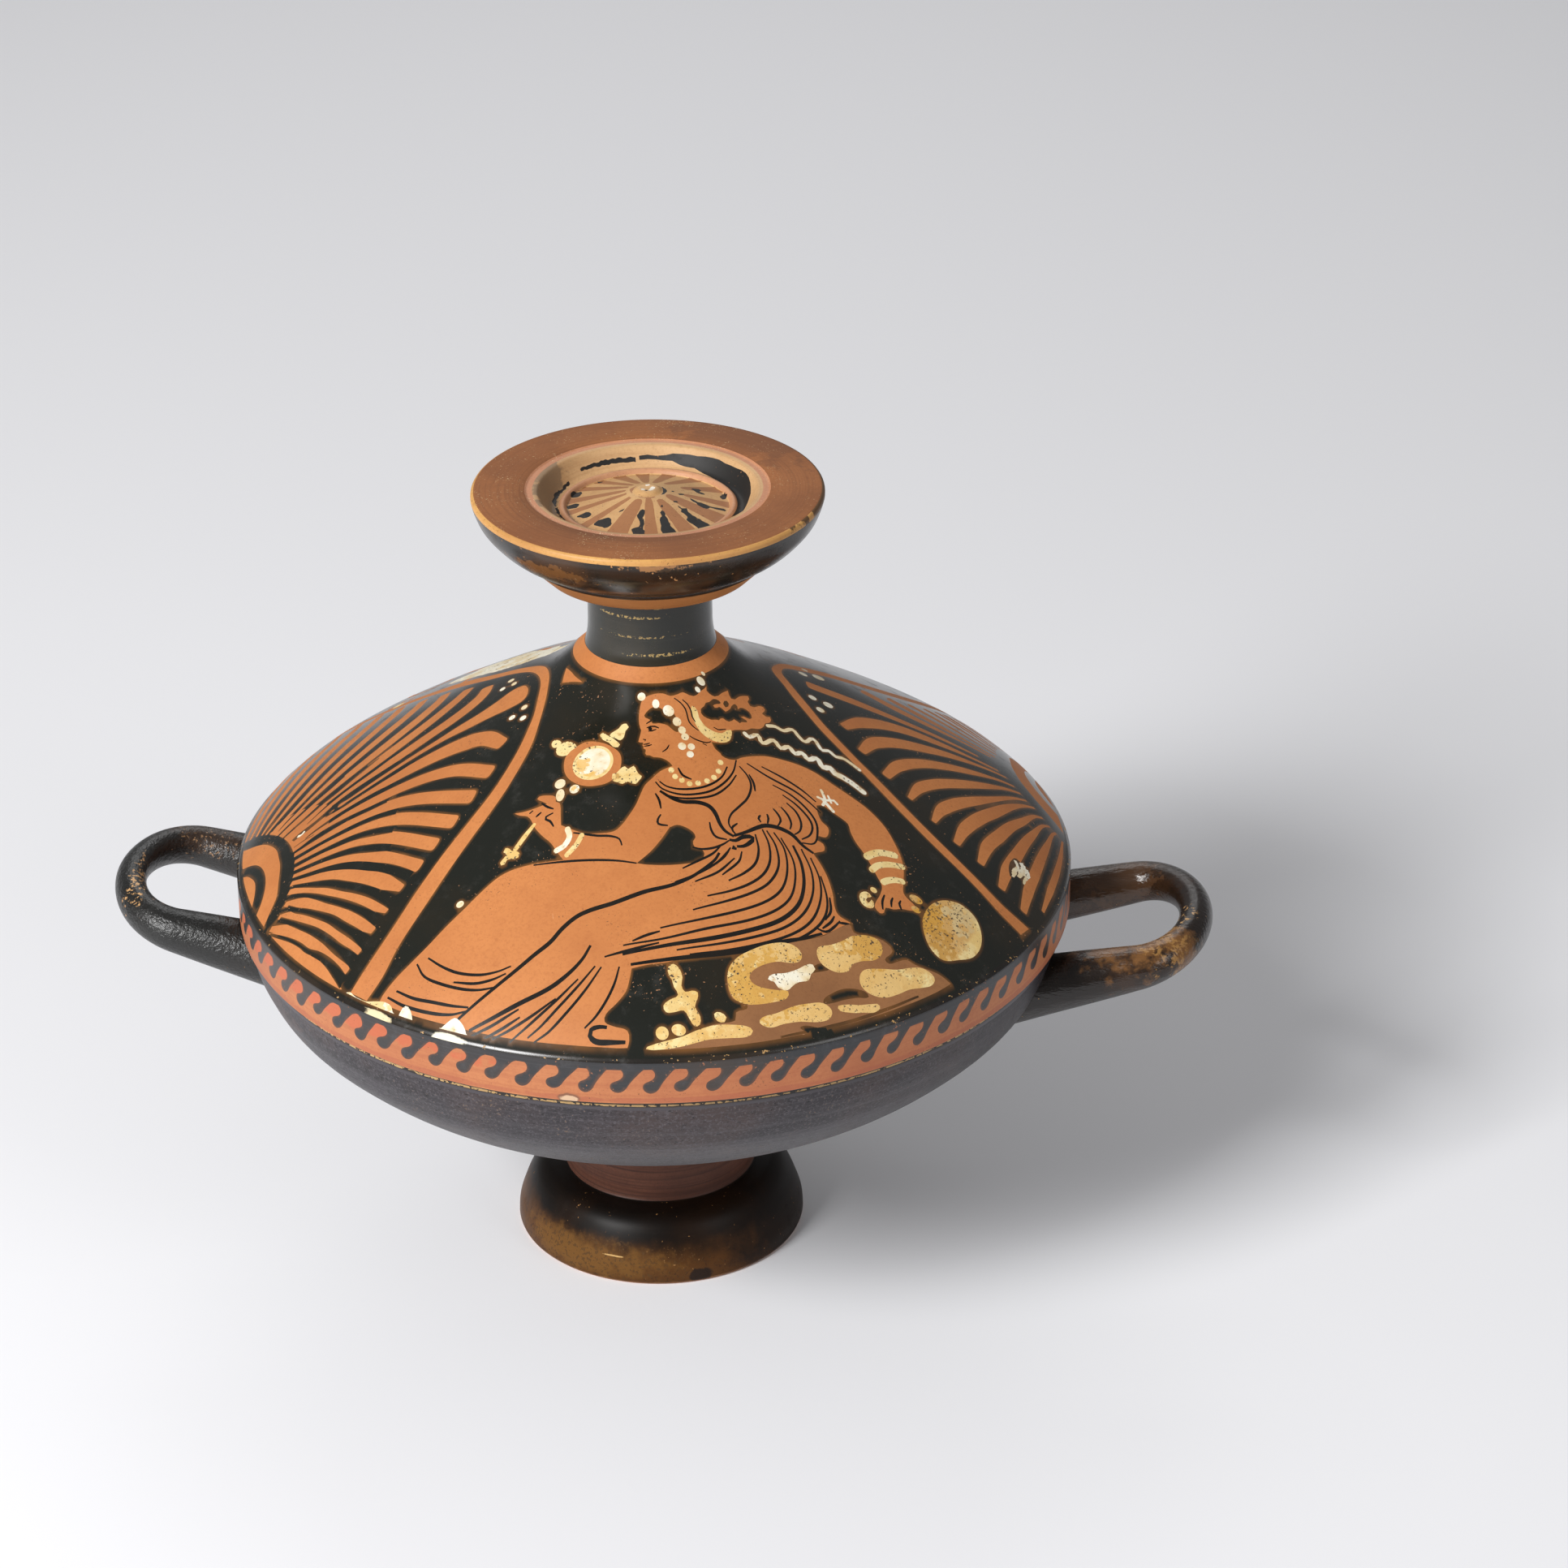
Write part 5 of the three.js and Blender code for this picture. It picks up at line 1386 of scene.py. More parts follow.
lidLook = {
    "clay": (0.55, 0.205, 0.062),
    "clayDark": (0.42, 0.14, 0.040),
    "gloss": (0.010, 0.011, 0.008),
    "halo": (0.17, 0.07, 0.018),
    "white": (0.82, 0.77, 0.62),
    "cream": (0.78, 0.61, 0.28),
    "rimGloss": (0.026, 0.027, 0.030),
    "rimClay": (0.50, 0.19, 0.08),
}
lidMaterials = [
    glossMaterial(
        "lidBlackGloss", lidLook["gloss"], (0.018, 0.014, 0.008), 0.2, halo=lidLook["halo"], speckSize=1500.0, patches=(
            ((0.74, 0.62, 0.38), (-56, -82.5, 102), (4, 4, 0.9), 0.2, 1.0, 300.0),
            ((0.82, 0.76, 0.60), (-38.8, -92, 102), (5, 3, 0.9), 0.2, 1.0, 300.0))),
    clayMaterial("lidClay", lidLook["clay"], lidLook["clayDark"], speckAmount=0.24, grain=0.5, marks=0.3),
    glossMaterial(
        "lidReliefLine", (0.007, 0.006, 0.005), (0.012, 0.009, 0.006), 0.26, worn=0.05, speckSize=1500.0,
        dust=(0.02, 0.018, 0.016), dustShare=0.2),
    paintMaterial("lidWhite", lidLook["white"], (0.74, 0.60, 0.36), (0.55, 0.33, 0.12), 0.3, (
        ((0.72, 0.43, 0.10), (-13.6, -37.5, 130), (2.6, 5, 20), 0.9, 0.85, 420.0),
        ((0.70, 0.42, 0.10), (-10, -39.8, 130), (5, 2, 20), 0.9, 0.8, 420.0),
        ((0.70, 0.46, 0.16), (-57, -80, 105), (6, 4, 8), 1.2, 0.8, 420.0))),
    paintMaterial("lidCream", lidLook["cream"], (0.72, 0.50, 0.18), (0.46, 0.23, 0.05), 0.36, (
        ((0.66, 0.40, 0.13), (44, -76, 110), (34, 22, 16), 0.9, 0.75, 300.0),
        ((0.58, 0.33, 0.10), (72, -53, 117), (11, 11, 10), 0.2, 0.95, 300.0),
        ((0.62, 0.46, 0.22), (75, -50, 118), (7, 9, 8), 0.8, 0.9, 300.0),
        ((0.56, 0.28, 0.035), (68, -53, 118), (4, 8, 8), 0.8, 0.9, 420.0),
        ((0.50, 0.26, 0.05), (73, -59, 114), (5, 4, 6), 1.2, 0.9, 420.0),
        ((0.045, 0.03, 0.02), (72, -53, 117), (10, 10, 9), 0.2, 0.9, 560.0, 0.585),
        ((0.10, 0.06, 0.03), (42, -76, 110), (32, 20, 14), 0.7, 0.85, 560.0, 0.62),
        ((0.55, 0.28, 0.04), (54, -66, 114), (6, 5, 6), 1.2, 0.8, 420.0),
        ((0.55, 0.28, 0.04), (30, -82, 112), (8, 8, 6), 1.4, 0.8, 420.0),
        ((0.62, 0.36, 0.08), (-30, -70, 118), (60, 60, 20), 0.9, 0.45, 420.0))),
    clayMaterial("lidRock", (0.30, 0.135, 0.052), (0.19, 0.08, 0.032)),
    glossMaterial(
        "rimWaveGloss", lidLook["rimGloss"], (0.045, 0.034, 0.028), 0.36, halo=(0.11, 0.05, 0.03), worn=0.25,
        speckSize=1300.0, wornColour=(0.30, 0.12, 0.06), wheel=0.3, dust=(0.09, 0.09, 0.10), dustShare=0.5),
    clayMaterial("rimClay", lidLook["rimClay"], (0.36, 0.11, 0.05), 0.5, speckAmount=0.24, wheel=0.35, patches=(
        ((0.52, 0.115, 0.055), (-70, -50, 99), (60, 60, 3), 0.4, 0.65, 200.0),
        ((0.36, 0.10, 0.055), (0, 0, 92), (140, 140, 0.9), 0.4, 0.5, 120.0),
        ((0.16, 0.08, 0.05), (-10.5, -99.5, 92), (2.6, 3, 1.3), 0.25, 0.8, 300.0),
        ((0.62, 0.42, 0.27), (-10.5, -99.5, 91.8), (2.1, 3, 0.9), 0.3, 0.95, 300.0))),
    glossMaterial(
        "lidShoulderWorn", (0.012, 0.010, 0.008), (0.03, 0.02, 0.012), worn=0.36, speckSize=900.0,
        wornColour=(0.40, 0.23, 0.08), patches=(
            ((0.74, 0.62, 0.38), (-55.5, -82.8, 102), (3.6, 4, 1.8), 0.3, 1.0, 300.0),
            ((0.82, 0.76, 0.60), (-38.5, -92, 101.7), (5.2, 3, 2.2), 0.3, 1.0, 300.0))),
    glossMaterial("lidInside", (0.03, 0.024, 0.02), (0.08, 0.04, 0.022), 0.5, worn=0.25, speckSize=700.0, wheel=0.5),
]
lid = lidMesh(lidMaterials)
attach(lid, "cover")
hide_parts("lid")
print("lid made:", len(lid.data.polygons), "faces")


# A turned piece: one corner is pulled along the profile, then spun round the wheel's axis
turnSizes = {
    "steps": 192,
    "bowlSteps": 256,
    "cutterSteps": 128,
    "weld": 0.02,
    "sharpAngle": 40,
}


def selectOnly(*pieces):
    bpy.ops.object.select_all(action="DESELECT")
    for piece in pieces:
        piece.select_set(True)
    bpy.context.view_layer.objects.active = pieces[-1]


# Turns all faces of the selected piece outwards, after closing its seams if asked
def tidyFaces(weld=True):
    bpy.ops.object.mode_set(mode="EDIT")
    bpy.ops.mesh.select_all(action="SELECT")
    if weld:
        bpy.ops.mesh.remove_doubles(threshold=turnSizes["weld"] * mm)
    bpy.ops.mesh.normals_make_consistent(inside=False)
    bpy.ops.object.mode_set(mode="OBJECT")


def smooth():
    bpy.ops.object.shade_smooth_by_angle(angle=math.radians(turnSizes["sharpAngle"]))


def turned(name, profile, steps=turnSizes["steps"]):
    bpy.ops.object.select_all(action="DESELECT")
    bpy.ops.mesh.primitive_plane_add(size=0.001)
    piece = bpy.context.object
    piece.name = name
    bpy.ops.object.mode_set(mode="EDIT")
    bpy.ops.mesh.select_all(action="SELECT")
    bpy.ops.mesh.merge(type="CENTER")
    bpy.ops.transform.translate(value=(profile[0][0] * mm, 0, profile[0][1] * mm))
    for (r0, z0), (r1, z1) in zip(profile, profile[1:]):
        bpy.ops.mesh.extrude_region_move(TRANSFORM_OT_translate={"value": ((r1 - r0) * mm, 0, (z1 - z0) * mm)})
    bpy.ops.mesh.select_all(action="SELECT")
    bpy.ops.mesh.spin(steps=steps, angle=2 * math.pi, center=(0, 0, 0), axis=(0, 0, 1))
    bpy.ops.object.mode_set(mode="OBJECT")
    tidyFaces()
    smooth()
    return piece


# Gives faces a coat by where their middles are: radius and height in millimetres
def coatFaces(piece, coats, choose):
    names = list(coats)
    for material in coats.values():
        piece.data.materials.append(material)
    for face in piece.data.polygons:
        middle = face.center
        face.material_index = names.index(choose(math.hypot(middle.x, middle.y) / mm, middle.z / mm))


# Knob: turned outside, painted recess in its top
knobSizes = {
    "base": lidSizes["neckTop"],
    "discUnder": 176.85,
    "bandTop": 182.75,
    "radius": 41,
    "top": 196.75,
    "recess": 28.45,
    "paintGrid": 1.1,
    "haloWidth": 0.4,
    "fewSteps": 64,  # points of the rings near the middle
    "fewInside": 18,
    "petalEnd": 18.8,
    "topCoat": 196.7,  # heights and radii where the coats change
    "edgeCoat": 195.4,
    "stemCoat": (15.3, 176.7),
    "bandCoat": (24.9, 181.5),
}
echinus = between([(0, 0), (0.34, 0.18), (0.6, 0.38), (0.83, 0.62), (0.95, 0.85), (1, 1)],
                  30.5, knobSizes["radius"], knobSizes["bandTop"], knobSizes["top"] - 1.5, 4)
knobProfile = [
    (0, knobSizes["base"]), (15.45, knobSizes["base"]), (15.1, 159.4), (14.8, 161), (14.62, 163.5), (14.6, 168),
    (14.6, 174), (14.75, 175.9), (15.2, 176.6), (16.2, 176.8), (24.1, knobSizes["discUnder"]), (24.8, 177.1),
    (25.6, 177.9), (29.2, 181.45), (29.5, 181.9), (29.55, 182.3), (29.85, 182.5), *echinus,
    (knobSizes["radius"], 195.7), (40.93, 196.1), (40.7, 196.45), (40.3, 196.68), (39.8, knobSizes["top"]),
    (34, knobSizes["top"]), (knobSizes["recess"], knobSizes["top"])]
recessLine = [
    (0, 196.4), (0.9, 196.42), (1.6, 196.55), (2.1, 196.55), (2.6, 196.4), (3, 196.1), (3.3, 195.85), (3.7, 195.72),
    (4.3, 195.66), (11.4, 193.72), (18.4, 191.78), (18.75, 191.75), (18.95, 192), (19.15, 192.45), (19.5, 192.78),
    (19.9, 192.87), (20.3, 192.75), (20.7, 192.35), (21.1, 191.98), (21.8, 191.78), (22.4, 191.95), (23, 192.55),
    (23.6, 193.45), (24.3, 194.5), (24.95, 195.45), (25.3, 196), (25.55, 196.28), (25.85, 196.42), (26.4, 196.5),
    (27, 196.52), (27.7, 196.46), (28.05, 196.5), (28.3, 196.64), (knobSizes["recess"], knobSizes["top"])]


# Part of a ring between two lines of radii, from one angle to another
def arcPatch(inner, outer, start, end, steps=24):
    def swept(radii):
        points = []
        for k in range(steps + 1):
            at = k / steps * (len(radii) - 1)
            low = min(int(at), len(radii) - 2)
            radius = radii[low] + (radii[low + 1] - radii[low]) * (at - low)
            angle = math.radians(start + (end - start) * k / steps)
            points.append(Vector((radius * math.cos(angle), radius * math.sin(angle))))
        return points
    return swept(outer) + swept(inner)[::-1]


# Bands of the recess, outermost first, with remnants of black between them
knobPaint = [
    ("pinkRing", spot(0, 0, 28.6)), ("wall", spot(0, 0, 26.7)),
    ("gloss", flaked(arcPatch([23.55, 23.45, 23.3], [23.9, 24.15, 24], 137, 102), 0.1, 1)),
    ("gloss", flaked(arcPatch([23.6, 23.7, 23.3, 22.9, 22.2, 21.6, 20.9, 20.6, 20.5, 20, 19.3],
                              [24, 24.3, 24.5, 24.7, 24.9, 24.8, 24.9, 24.6, 23.9, 22.4, 21.3], 100, -14), 0.16, 2)),
    ("gloss", flaked(arcPatch([19.2, 19, 19, 19, 18.9], [21, 20.2, 19.8, 19.6, 19.4], -12, -75), 0.12, 3)),
    ("gloss", flaked(arcPatch([22.6, 22, 21.7, 21.6, 21.3], [22.9, 22.6, 22.7, 22.6, 21.6], 149, 184), 0.2, 4)),
    ("gloss", flaked(arcPatch([21, 20.6, 20.3], [21.6, 21, 20.5], 186, 216), 0.16, 5)),
    ("ridge", spot(0, 0, 20.7)), ("floor", spot(0, 0, 18.9)),
    ("gloss", flaked(arcPatch([3.8, 3.4, 3.8], [4, 4.5, 4], -30, 40), 0.12, 6)),
    ("petal", flaked(arcPatch([3.7, 3.4, 3.7], [3.9, 4.3, 3.9], 140, 200), 0.12, 7)),
    ("petal", flaked(arcPatch([3.8, 3.6], [4, 4.1], 240, 300), 0.12, 8))]

# The rosette: brown petals, each by its middle angle, half width at the edge and start, with the black left between
petalEnd = knobSizes["petalEnd"]
for angle, half, start in (
        (-82.5, 1.6, 3.9), (-53.6, 2.1, 5.2), (-20, 2.4, 5), (6, 1.6, 8.4), (34, 1.9, 9), (59, 1.7, 7), (80, 1.6, 6),
        (99, 1.5, 6), (116, 1.5, 6), (133, 1.3, 5.5), (150.6, 1.4, 5.5), (174, 1.5, 5.4), (194.5, 1.2, 5),
        (221, 1.2, 5), (250.4, 2.5, 5)):
    middle = math.radians(angle)
    waist = start * 0.4 + 11
    corners = [(start, 0.36 * half), (start, -0.36 * half), (waist, -0.8 * half), (petalEnd, -half * 1.08, 1),
               (petalEnd, half * 1.08, 1), (waist, 0.8 * half)]
    strip = patch(*[(out * math.cos(middle) - off * math.sin(middle), out * math.sin(middle) + off * math.cos(middle),
                     *sharp) for out, off, *sharp in corners])
    knobPaint.append(("petal", flaked(strip, 0.05, angle)))
for k, remnant in enumerate((
        [(-0.5, -7.9), (-1.6, -10.2), (-0.9, -12.5), (-0.8, -14.2), (-2.2, -14.5), (-2.3, -15.6), (-1.4, -18.6),
         (0.5, -18.6), (0.5, -15.5), (0, -14.5), (0.3, -12.5), (-0.2, -11), (0, -9.5)],
        [(4, -7.9), (3.5, -8.8), (4.1, -10), (3.6, -11.3), (4.2, -13.3), (4.4, -14.9), (6, -17.6), (8.8, -16.4),
         (7.2, -14.2), (6.3, -13), (5.9, -11.6), (5.2, -10.3), (4.7, -9), (4.6, -8.2)],
        [(7.4, -5), (8.4, -5.6), (9.4, -5.4), (10, -6.6), (11, -7.6), (13.8, -9.2), (15.4, -10.6), (13.4, -12.9),
         (11.8, -11.4), (10.6, -10.6), (9.8, -9.8), (9.9, -8.6), (8.4, -7.2), (8.2, -6.2)],
        [(9.8, -0.2), (11, -0.8), (13, -1), (14.5, -1.4), (16, -1.2), (17.6, -0.8), (18.4, -1.6), (16.6, -2.1),
         (14.6, -2.3), (13.8, -3.2), (12.4, -2.9), (11.3, -1.8), (10, -1)],
        [(9.6, 6.2), (10.4, 7.3), (11.8, 7), (11.6, 5.6), (13, 4.8), (12, 4.2), (10.8, 4.6), (10.4, 5.4)],
        [(16.4, 5), (16.6, 7.6), (17.2, 8.2), (17.8, 6), (17, 4.4)],
        [(-16.5, 7.4), (-15.9, 5.6), (-16.8, 3.7), (-18.4, 4.4), (-18, 6.2)],
        [(-16.9, -0.2), (-15.8, -1.6), (-16.4, -2.7), (-18.4, -2.3), (-18.8, -1), (-18.2, -0.4)],
        [(-15.2, -6.6), (-13.2, -6.1), (-12.4, -7.9), (-13.4, -8.7), (-15, -8), (-16, -7.4)],
        [(-11.4, -11.6), (-8.2, -10), (-7.6, -11), (-7.2, -12.6), (-8, -13.8), (-9.4, -13.4)],
        [(-6, -8.6), (-5.4, -7.6), (-4.7, -7.4), (-5, -8.3)], [(3.6, -5.8), (4.1, -6), (4.1, -6.8), (3.5, -6.7)],
        [(5.3, 1.4), (6, 1.6), (6.1, 0.9), (5.5, 0.8)], [(6.9, 0.5), (8.2, 1.3), (8.4, 0.9), (7.3, 0.2)],
        [(6.1, -3.5), (7, -3.2), (7.3, -3.7), (6.4, -3.9)], [(-12.6, 12.2), (-11.6, 13.4), (-13, 13.6)])):
    knobPaint.append(("gloss", flaked(patch(*remnant), 0.16, k + 20)))
knobPaint += [
    # The pale spots on the boss are painted glints.
    ("chip", spot(-1, -0.9, 0.5)), ("chip", patch((0.3, -1.6), (1.3, -1.2), (1.7, 0.4), (0.9, 0.9), (0.5, -0.3))),
    ("gloss", spot(-0.2, -1.5, 0.4)), ("chip", patch((-0.6, 1.1), (0.4, 1.5), (0.2, 2), (-0.7, 1.7)))]

recessCoats = {
    "gloss": glossMaterial(
        "knobBlack", (0.007, 0.006, 0.005), (0.02, 0.012, 0.008), 0.6, dust=(0.02, 0.016, 0.012), dustShare=0.2),
    "pinkRing": clayMaterial(
        "knobPinkRing", (0.55, 0.24, 0.12), (0.40, 0.16, 0.072), 0.5, 0.34, (0.72, 0.55, 0.32)),
    "wall": clayMaterial(
        "knobCreamWall", (0.60, 0.37, 0.18), (0.42, 0.23, 0.10), 0.55, 0.24, (0.08, 0.05, 0.03), 0.4, (
            # This patch darkens the wall's left side.
            ((0.20, 0.13, 0.075), (-24, 4, 194), (3.5, 15, 6), 0.6, 0.75, 300.0),)),
    "ridge": clayMaterial("knobRidge", (0.54, 0.27, 0.14), (0.36, 0.16, 0.08), 0.5),
    "floor": clayMaterial("knobFloor", (0.60, 0.36, 0.155), (0.40, 0.20, 0.075), 0.5, 0.28),
    "petal": clayMaterial("knobPetals", (0.36, 0.155, 0.058), (0.27, 0.11, 0.040), 0.5, 0.26),
    # Pale spots on the boss: painted glints.
    "chip": clayMaterial("knobPaintedGlints", (0.85, 0.80, 0.70), (0.60, 0.48, 0.34), 0.4, 0.3),
}
knobCoats = {
    **recessCoats,
    "topRing": clayMaterial(
        "knobTopRing", (0.32, 0.118, 0.038), (0.20, 0.070, 0.024), 0.7, 0.28, (0.60, 0.42, 0.22), 0.5, (
            ((0.16, 0.06, 0.025), (20, 30, 196.7), (16, 14, 3), 0.8, 0.5, 200.0),)),
    "edge": clayMaterial(
        "knobEdgeWorn", (0.66, 0.36, 0.11), (0.42, 0.19, 0.06), 0.45, 0.3, (0.03, 0.02, 0.012), 0.4, (
            ((0.06, 0.03, 0.016), (38, 14, 195.8), (20, 32, 4), 0.9, 0.85, 260.0),)),
    "underside": glossMaterial(
        "knobUnderside", (0.010, 0.008, 0.006), (0.06, 0.028, 0.012), worn=0.22, speckSize=700.0,
        wornColour=(0.42, 0.2, 0.07), wheel=0.4, dust=(0.075, 0.05, 0.035), patches=(
            ((0.16, 0.07, 0.022), (-20, -34, 190), (11, 11, 2), 1.0, 0.8, 330.0),
            ((0.36, 0.17, 0.06), (6, -39, 194.6), (7, 4, 0.9), 1.0, 0.9, 420.0),
            ((0.010, 0.008, 0.006), (12, -38, 193), (9, 6, 1.4), 0.8, 0.9, 330.0))),
    "band": clayMaterial("knobReservedBand", (0.50, 0.22, 0.070), (0.34, 0.13, 0.040), 0.5, wheel=0.4),
    "stem": glossMaterial(
        "stemGloss", (0.009, 0.010, 0.007), (0.028, 0.022, 0.012), 0.2, worn=0.14, speckSize=1300.0,
        wornColour=(0.36, 0.27, 0.14), wheel=0.4, dust=(0.04, 0.038, 0.026), scratchShare=0.6, patches=(
            ((0.50, 0.34, 0.12), (-5, -14, 170), (9, 5, 0.35), 0.5, 0.9, 600.0, 0.48),
            ((0.50, 0.34, 0.12), (6, -14, 172.5), (6, 5, 0.3), 0.5, 0.8, 600.0, 0.5),
            ((0.42, 0.28, 0.10), (-2, -14, 165), (10, 5, 0.3), 0.5, 0.7, 600.0, 0.52),
            ((0.5, 0.34, 0.12), (3, -14, 160.6), (9, 5, 0.35), 0.6, 0.8, 600.0, 0.52))),
}


def knobCoat(radius, height):
    if height > knobSizes["topCoat"]:
        return "topRing"
    if height > knobSizes["edgeCoat"]:
        return "edge"
    stemRadius, stemTop = knobSizes["stemCoat"]
    if radius < stemRadius and height < stemTop:
        return "stem"
    bandRadius, bandTop = knobSizes["bandCoat"]
    return "band" if radius > bandRadius and height < bandTop else "underside"


rings = [(radius, turnSizes["steps"] if radius > knobSizes["fewInside"] else knobSizes["fewSteps"])
         for radius, height in recessLine[:0:-1]]
verts, faces, coats = flatMesh(knobPaint, rings, knobSizes["recess"], -1, knobSizes["paintGrid"],
                               knobSizes["haloWidth"], list(recessCoats), "pinkRing")
used = sorted({corner for face in faces for corner in face})
renumber = {corner: k for k, corner in enumerate(used)}
places = [(verts[k].x * mm, verts[k].y * mm, heightOn(recessLine, verts[k].length)[0] * mm) for k in used]
faces = [[renumber[corner] for corner in face] for face in faces]
recess = newPiece("knobRecess", places, faces, recessCoats.values(), coats)
knob = turned("knob", knobProfile)
coatFaces(knob, knobCoats, knobCoat)
selectOnly(recess, knob)
bpy.ops.object.join()
tidyFaces()
smooth()
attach(knob, "cover")
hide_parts("lid_knob")
print("knob made:", len(knob.data.polygons), "faces")

# Bowl: outside, ledge for the lid, lip and inside, in one profile
bowlSizes = {
    "footRadius": 23.2,
    "footTop": 36,
    "radius": 98.5,
    "edgeLow": 88.5,
    "ledge": 91,
    "wall": 5.5,
    "lipOuter": 93.5,
    "lipInner": 90,
    "lipTop": 97,
    "insideTop": 85,  # the inside follows the wall below this height, out from this radius
    "insideStart": 12,
    "floorRadius": 8,
    "ledgeCoat": (97.9, 89, 91.1),  # radius, lowest and highest height
    "insideCoat": (90.1, 90.9),
    "floorCoat": 2,
}
bowlWall = between([(0, 0), (0.29, 0.15), (0.68, 0.435), (0.9, 0.69), (0.975, 0.86), (1, 1)], bowlSizes["footRadius"],
                   bowlSizes["radius"], bowlSizes["footTop"], bowlSizes["edgeLow"], 8)
bowlInside = [(min(r, bowlSizes["lipInner"]), z) for r, z in shifted(bowlWall, bowlSizes["wall"])[::-1]
              if z < bowlSizes["insideTop"] and r > bowlSizes["insideStart"]]
bowlFloor = bowlInside[-1][1] - 0.05
bowlProfile = [
    (0, bowlSizes["footTop"]), *bowlWall, (bowlSizes["radius"], 90.5), (98.4, 90.8), (98.1, bowlSizes["ledge"]),
    (93.9, bowlSizes["ledge"]), (bowlSizes["lipOuter"], 91.3), (bowlSizes["lipOuter"], 96.12), (93.3, 96.6),
    (92.9, 96.9), (92.4, bowlSizes["lipTop"]), (91.1, bowlSizes["lipTop"]), (90.6, 96.9), (90.2, 96.6),
    (bowlSizes["lipInner"], 96.12), *bowlInside, (bowlSizes["floorRadius"], bowlFloor), (0, bowlFloor)]
bowlCoats = {
    "outside": glossMaterial(
        "bowlDullGloss", (0.030, 0.026, 0.030), (0.056, 0.038, 0.036), 0.42, worn=0.26, speckSize=1500.0,
        wornColour=(0.16, 0.11, 0.08), wheel=0.45, dust=(0.105, 0.094, 0.105), dustShare=0.4, scratchShare=0.7,
        patches=(
            ((0.075, 0.045, 0.040), (-84, -48, 82), (9, 12, 6), 0.9, 0.5, 200.0),
            # This patch darkens the bowl's right-hand side: painted shade.
            ((0.012, 0.009, 0.012), (100, -20, 72), (60, 60, 30), 0.3, 0.65, 160.0, 0.0, 0.5),
            ((0.012, 0.010, 0.011), (-70, -68, 84), (30, 30, 1.6), 0.9, 0.5, 220.0, 0.5)),
        shine=0.35, grain=0.75, relief=0.4),
    "ledge": glossMaterial(
        # The ledge's near-black base is painted shade under the lid's overhang; the golden flakes along it are wear.
        "bowlLedgeShadeAndWear", (0.010, 0.008, 0.007), (0.03, 0.018, 0.010), 0.35, worn=0.1, speckSize=700.0,
        wornColour=(0.42, 0.24, 0.08), dust=(0.03, 0.028, 0.026), scratchShare=0.3, patches=(
            ((0.060, 0.052, 0.060), (0, 0, 88.4), (200, 200, 1.1), 0.1, 0.9, 300.0),
            ((0.50, 0.31, 0.12), (-40, 0, 89.8), (160, 160, 0.36), 0.22, 0.95, 330.0, 0.46))),
    "inside": glossMaterial(
        "bowlInside", (0.03, 0.024, 0.02), (0.08, 0.04, 0.022), 0.45, worn=0.25, speckSize=700.0, wheel=0.5),
}


def bowlCoat(radius, height):
    ledgeRadius, low, high = bowlSizes["ledgeCoat"]
    if radius > ledgeRadius and low < height < high:
        return "ledge"
    insideRadius, lipLow = bowlSizes["insideCoat"]
    above = height > heightOn(sorted(bowlWall), radius)[0] + bowlSizes["floorCoat"]
    return "inside" if height > lipLow or radius < insideRadius and above else "outside"


bowl = turned("bowl", bowlProfile, turnSizes["bowlSteps"])
coatFaces(bowl, bowlCoats, bowlCoat)
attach(bowl, "vessel")
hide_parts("bowl")

# Foot: stem on a thick ring, hollow below
footSizes = {
    "ringOuter": 35.5,
    "ringLow": 0.75,
    "ringTop": 16.5,
    "hollowRadius": 28,
    "hollowHeight": 27,
    "restCoat": 0.4,  # heights where the coats change
    "hollowCoat": 0.5,
    "stemCoat": 16.6,
}
footRing = between([(1, 0.02), (0.985, 0.19), (0.92, 0.36), (0.79, 0.62), (0.61, 0.85), (0.38, 0.97), (0.06, 1)],
                   bowlSizes["footRadius"], footSizes["ringOuter"], footSizes["ringLow"], footSizes["ringTop"], 6)
footHollow = between([(1, 0), (0.8, 0.2), (0.5, 0.62), (0.3, 0.92), (0, 1)],
                     0, footSizes["hollowRadius"], 0, footSizes["hollowHeight"], 5)
footProfile = [
    (0, bowlSizes["footTop"]), (bowlSizes["footRadius"], bowlSizes["footTop"]), (bowlSizes["footRadius"], 30),
    (23.1, 24), (23.2, 18.6), (23.35, 17.2), (23.6, 16.7), *footRing[::-1],
    (35.3, 0.5), (34.9, 0.12), (34.5, 0), *footHollow]
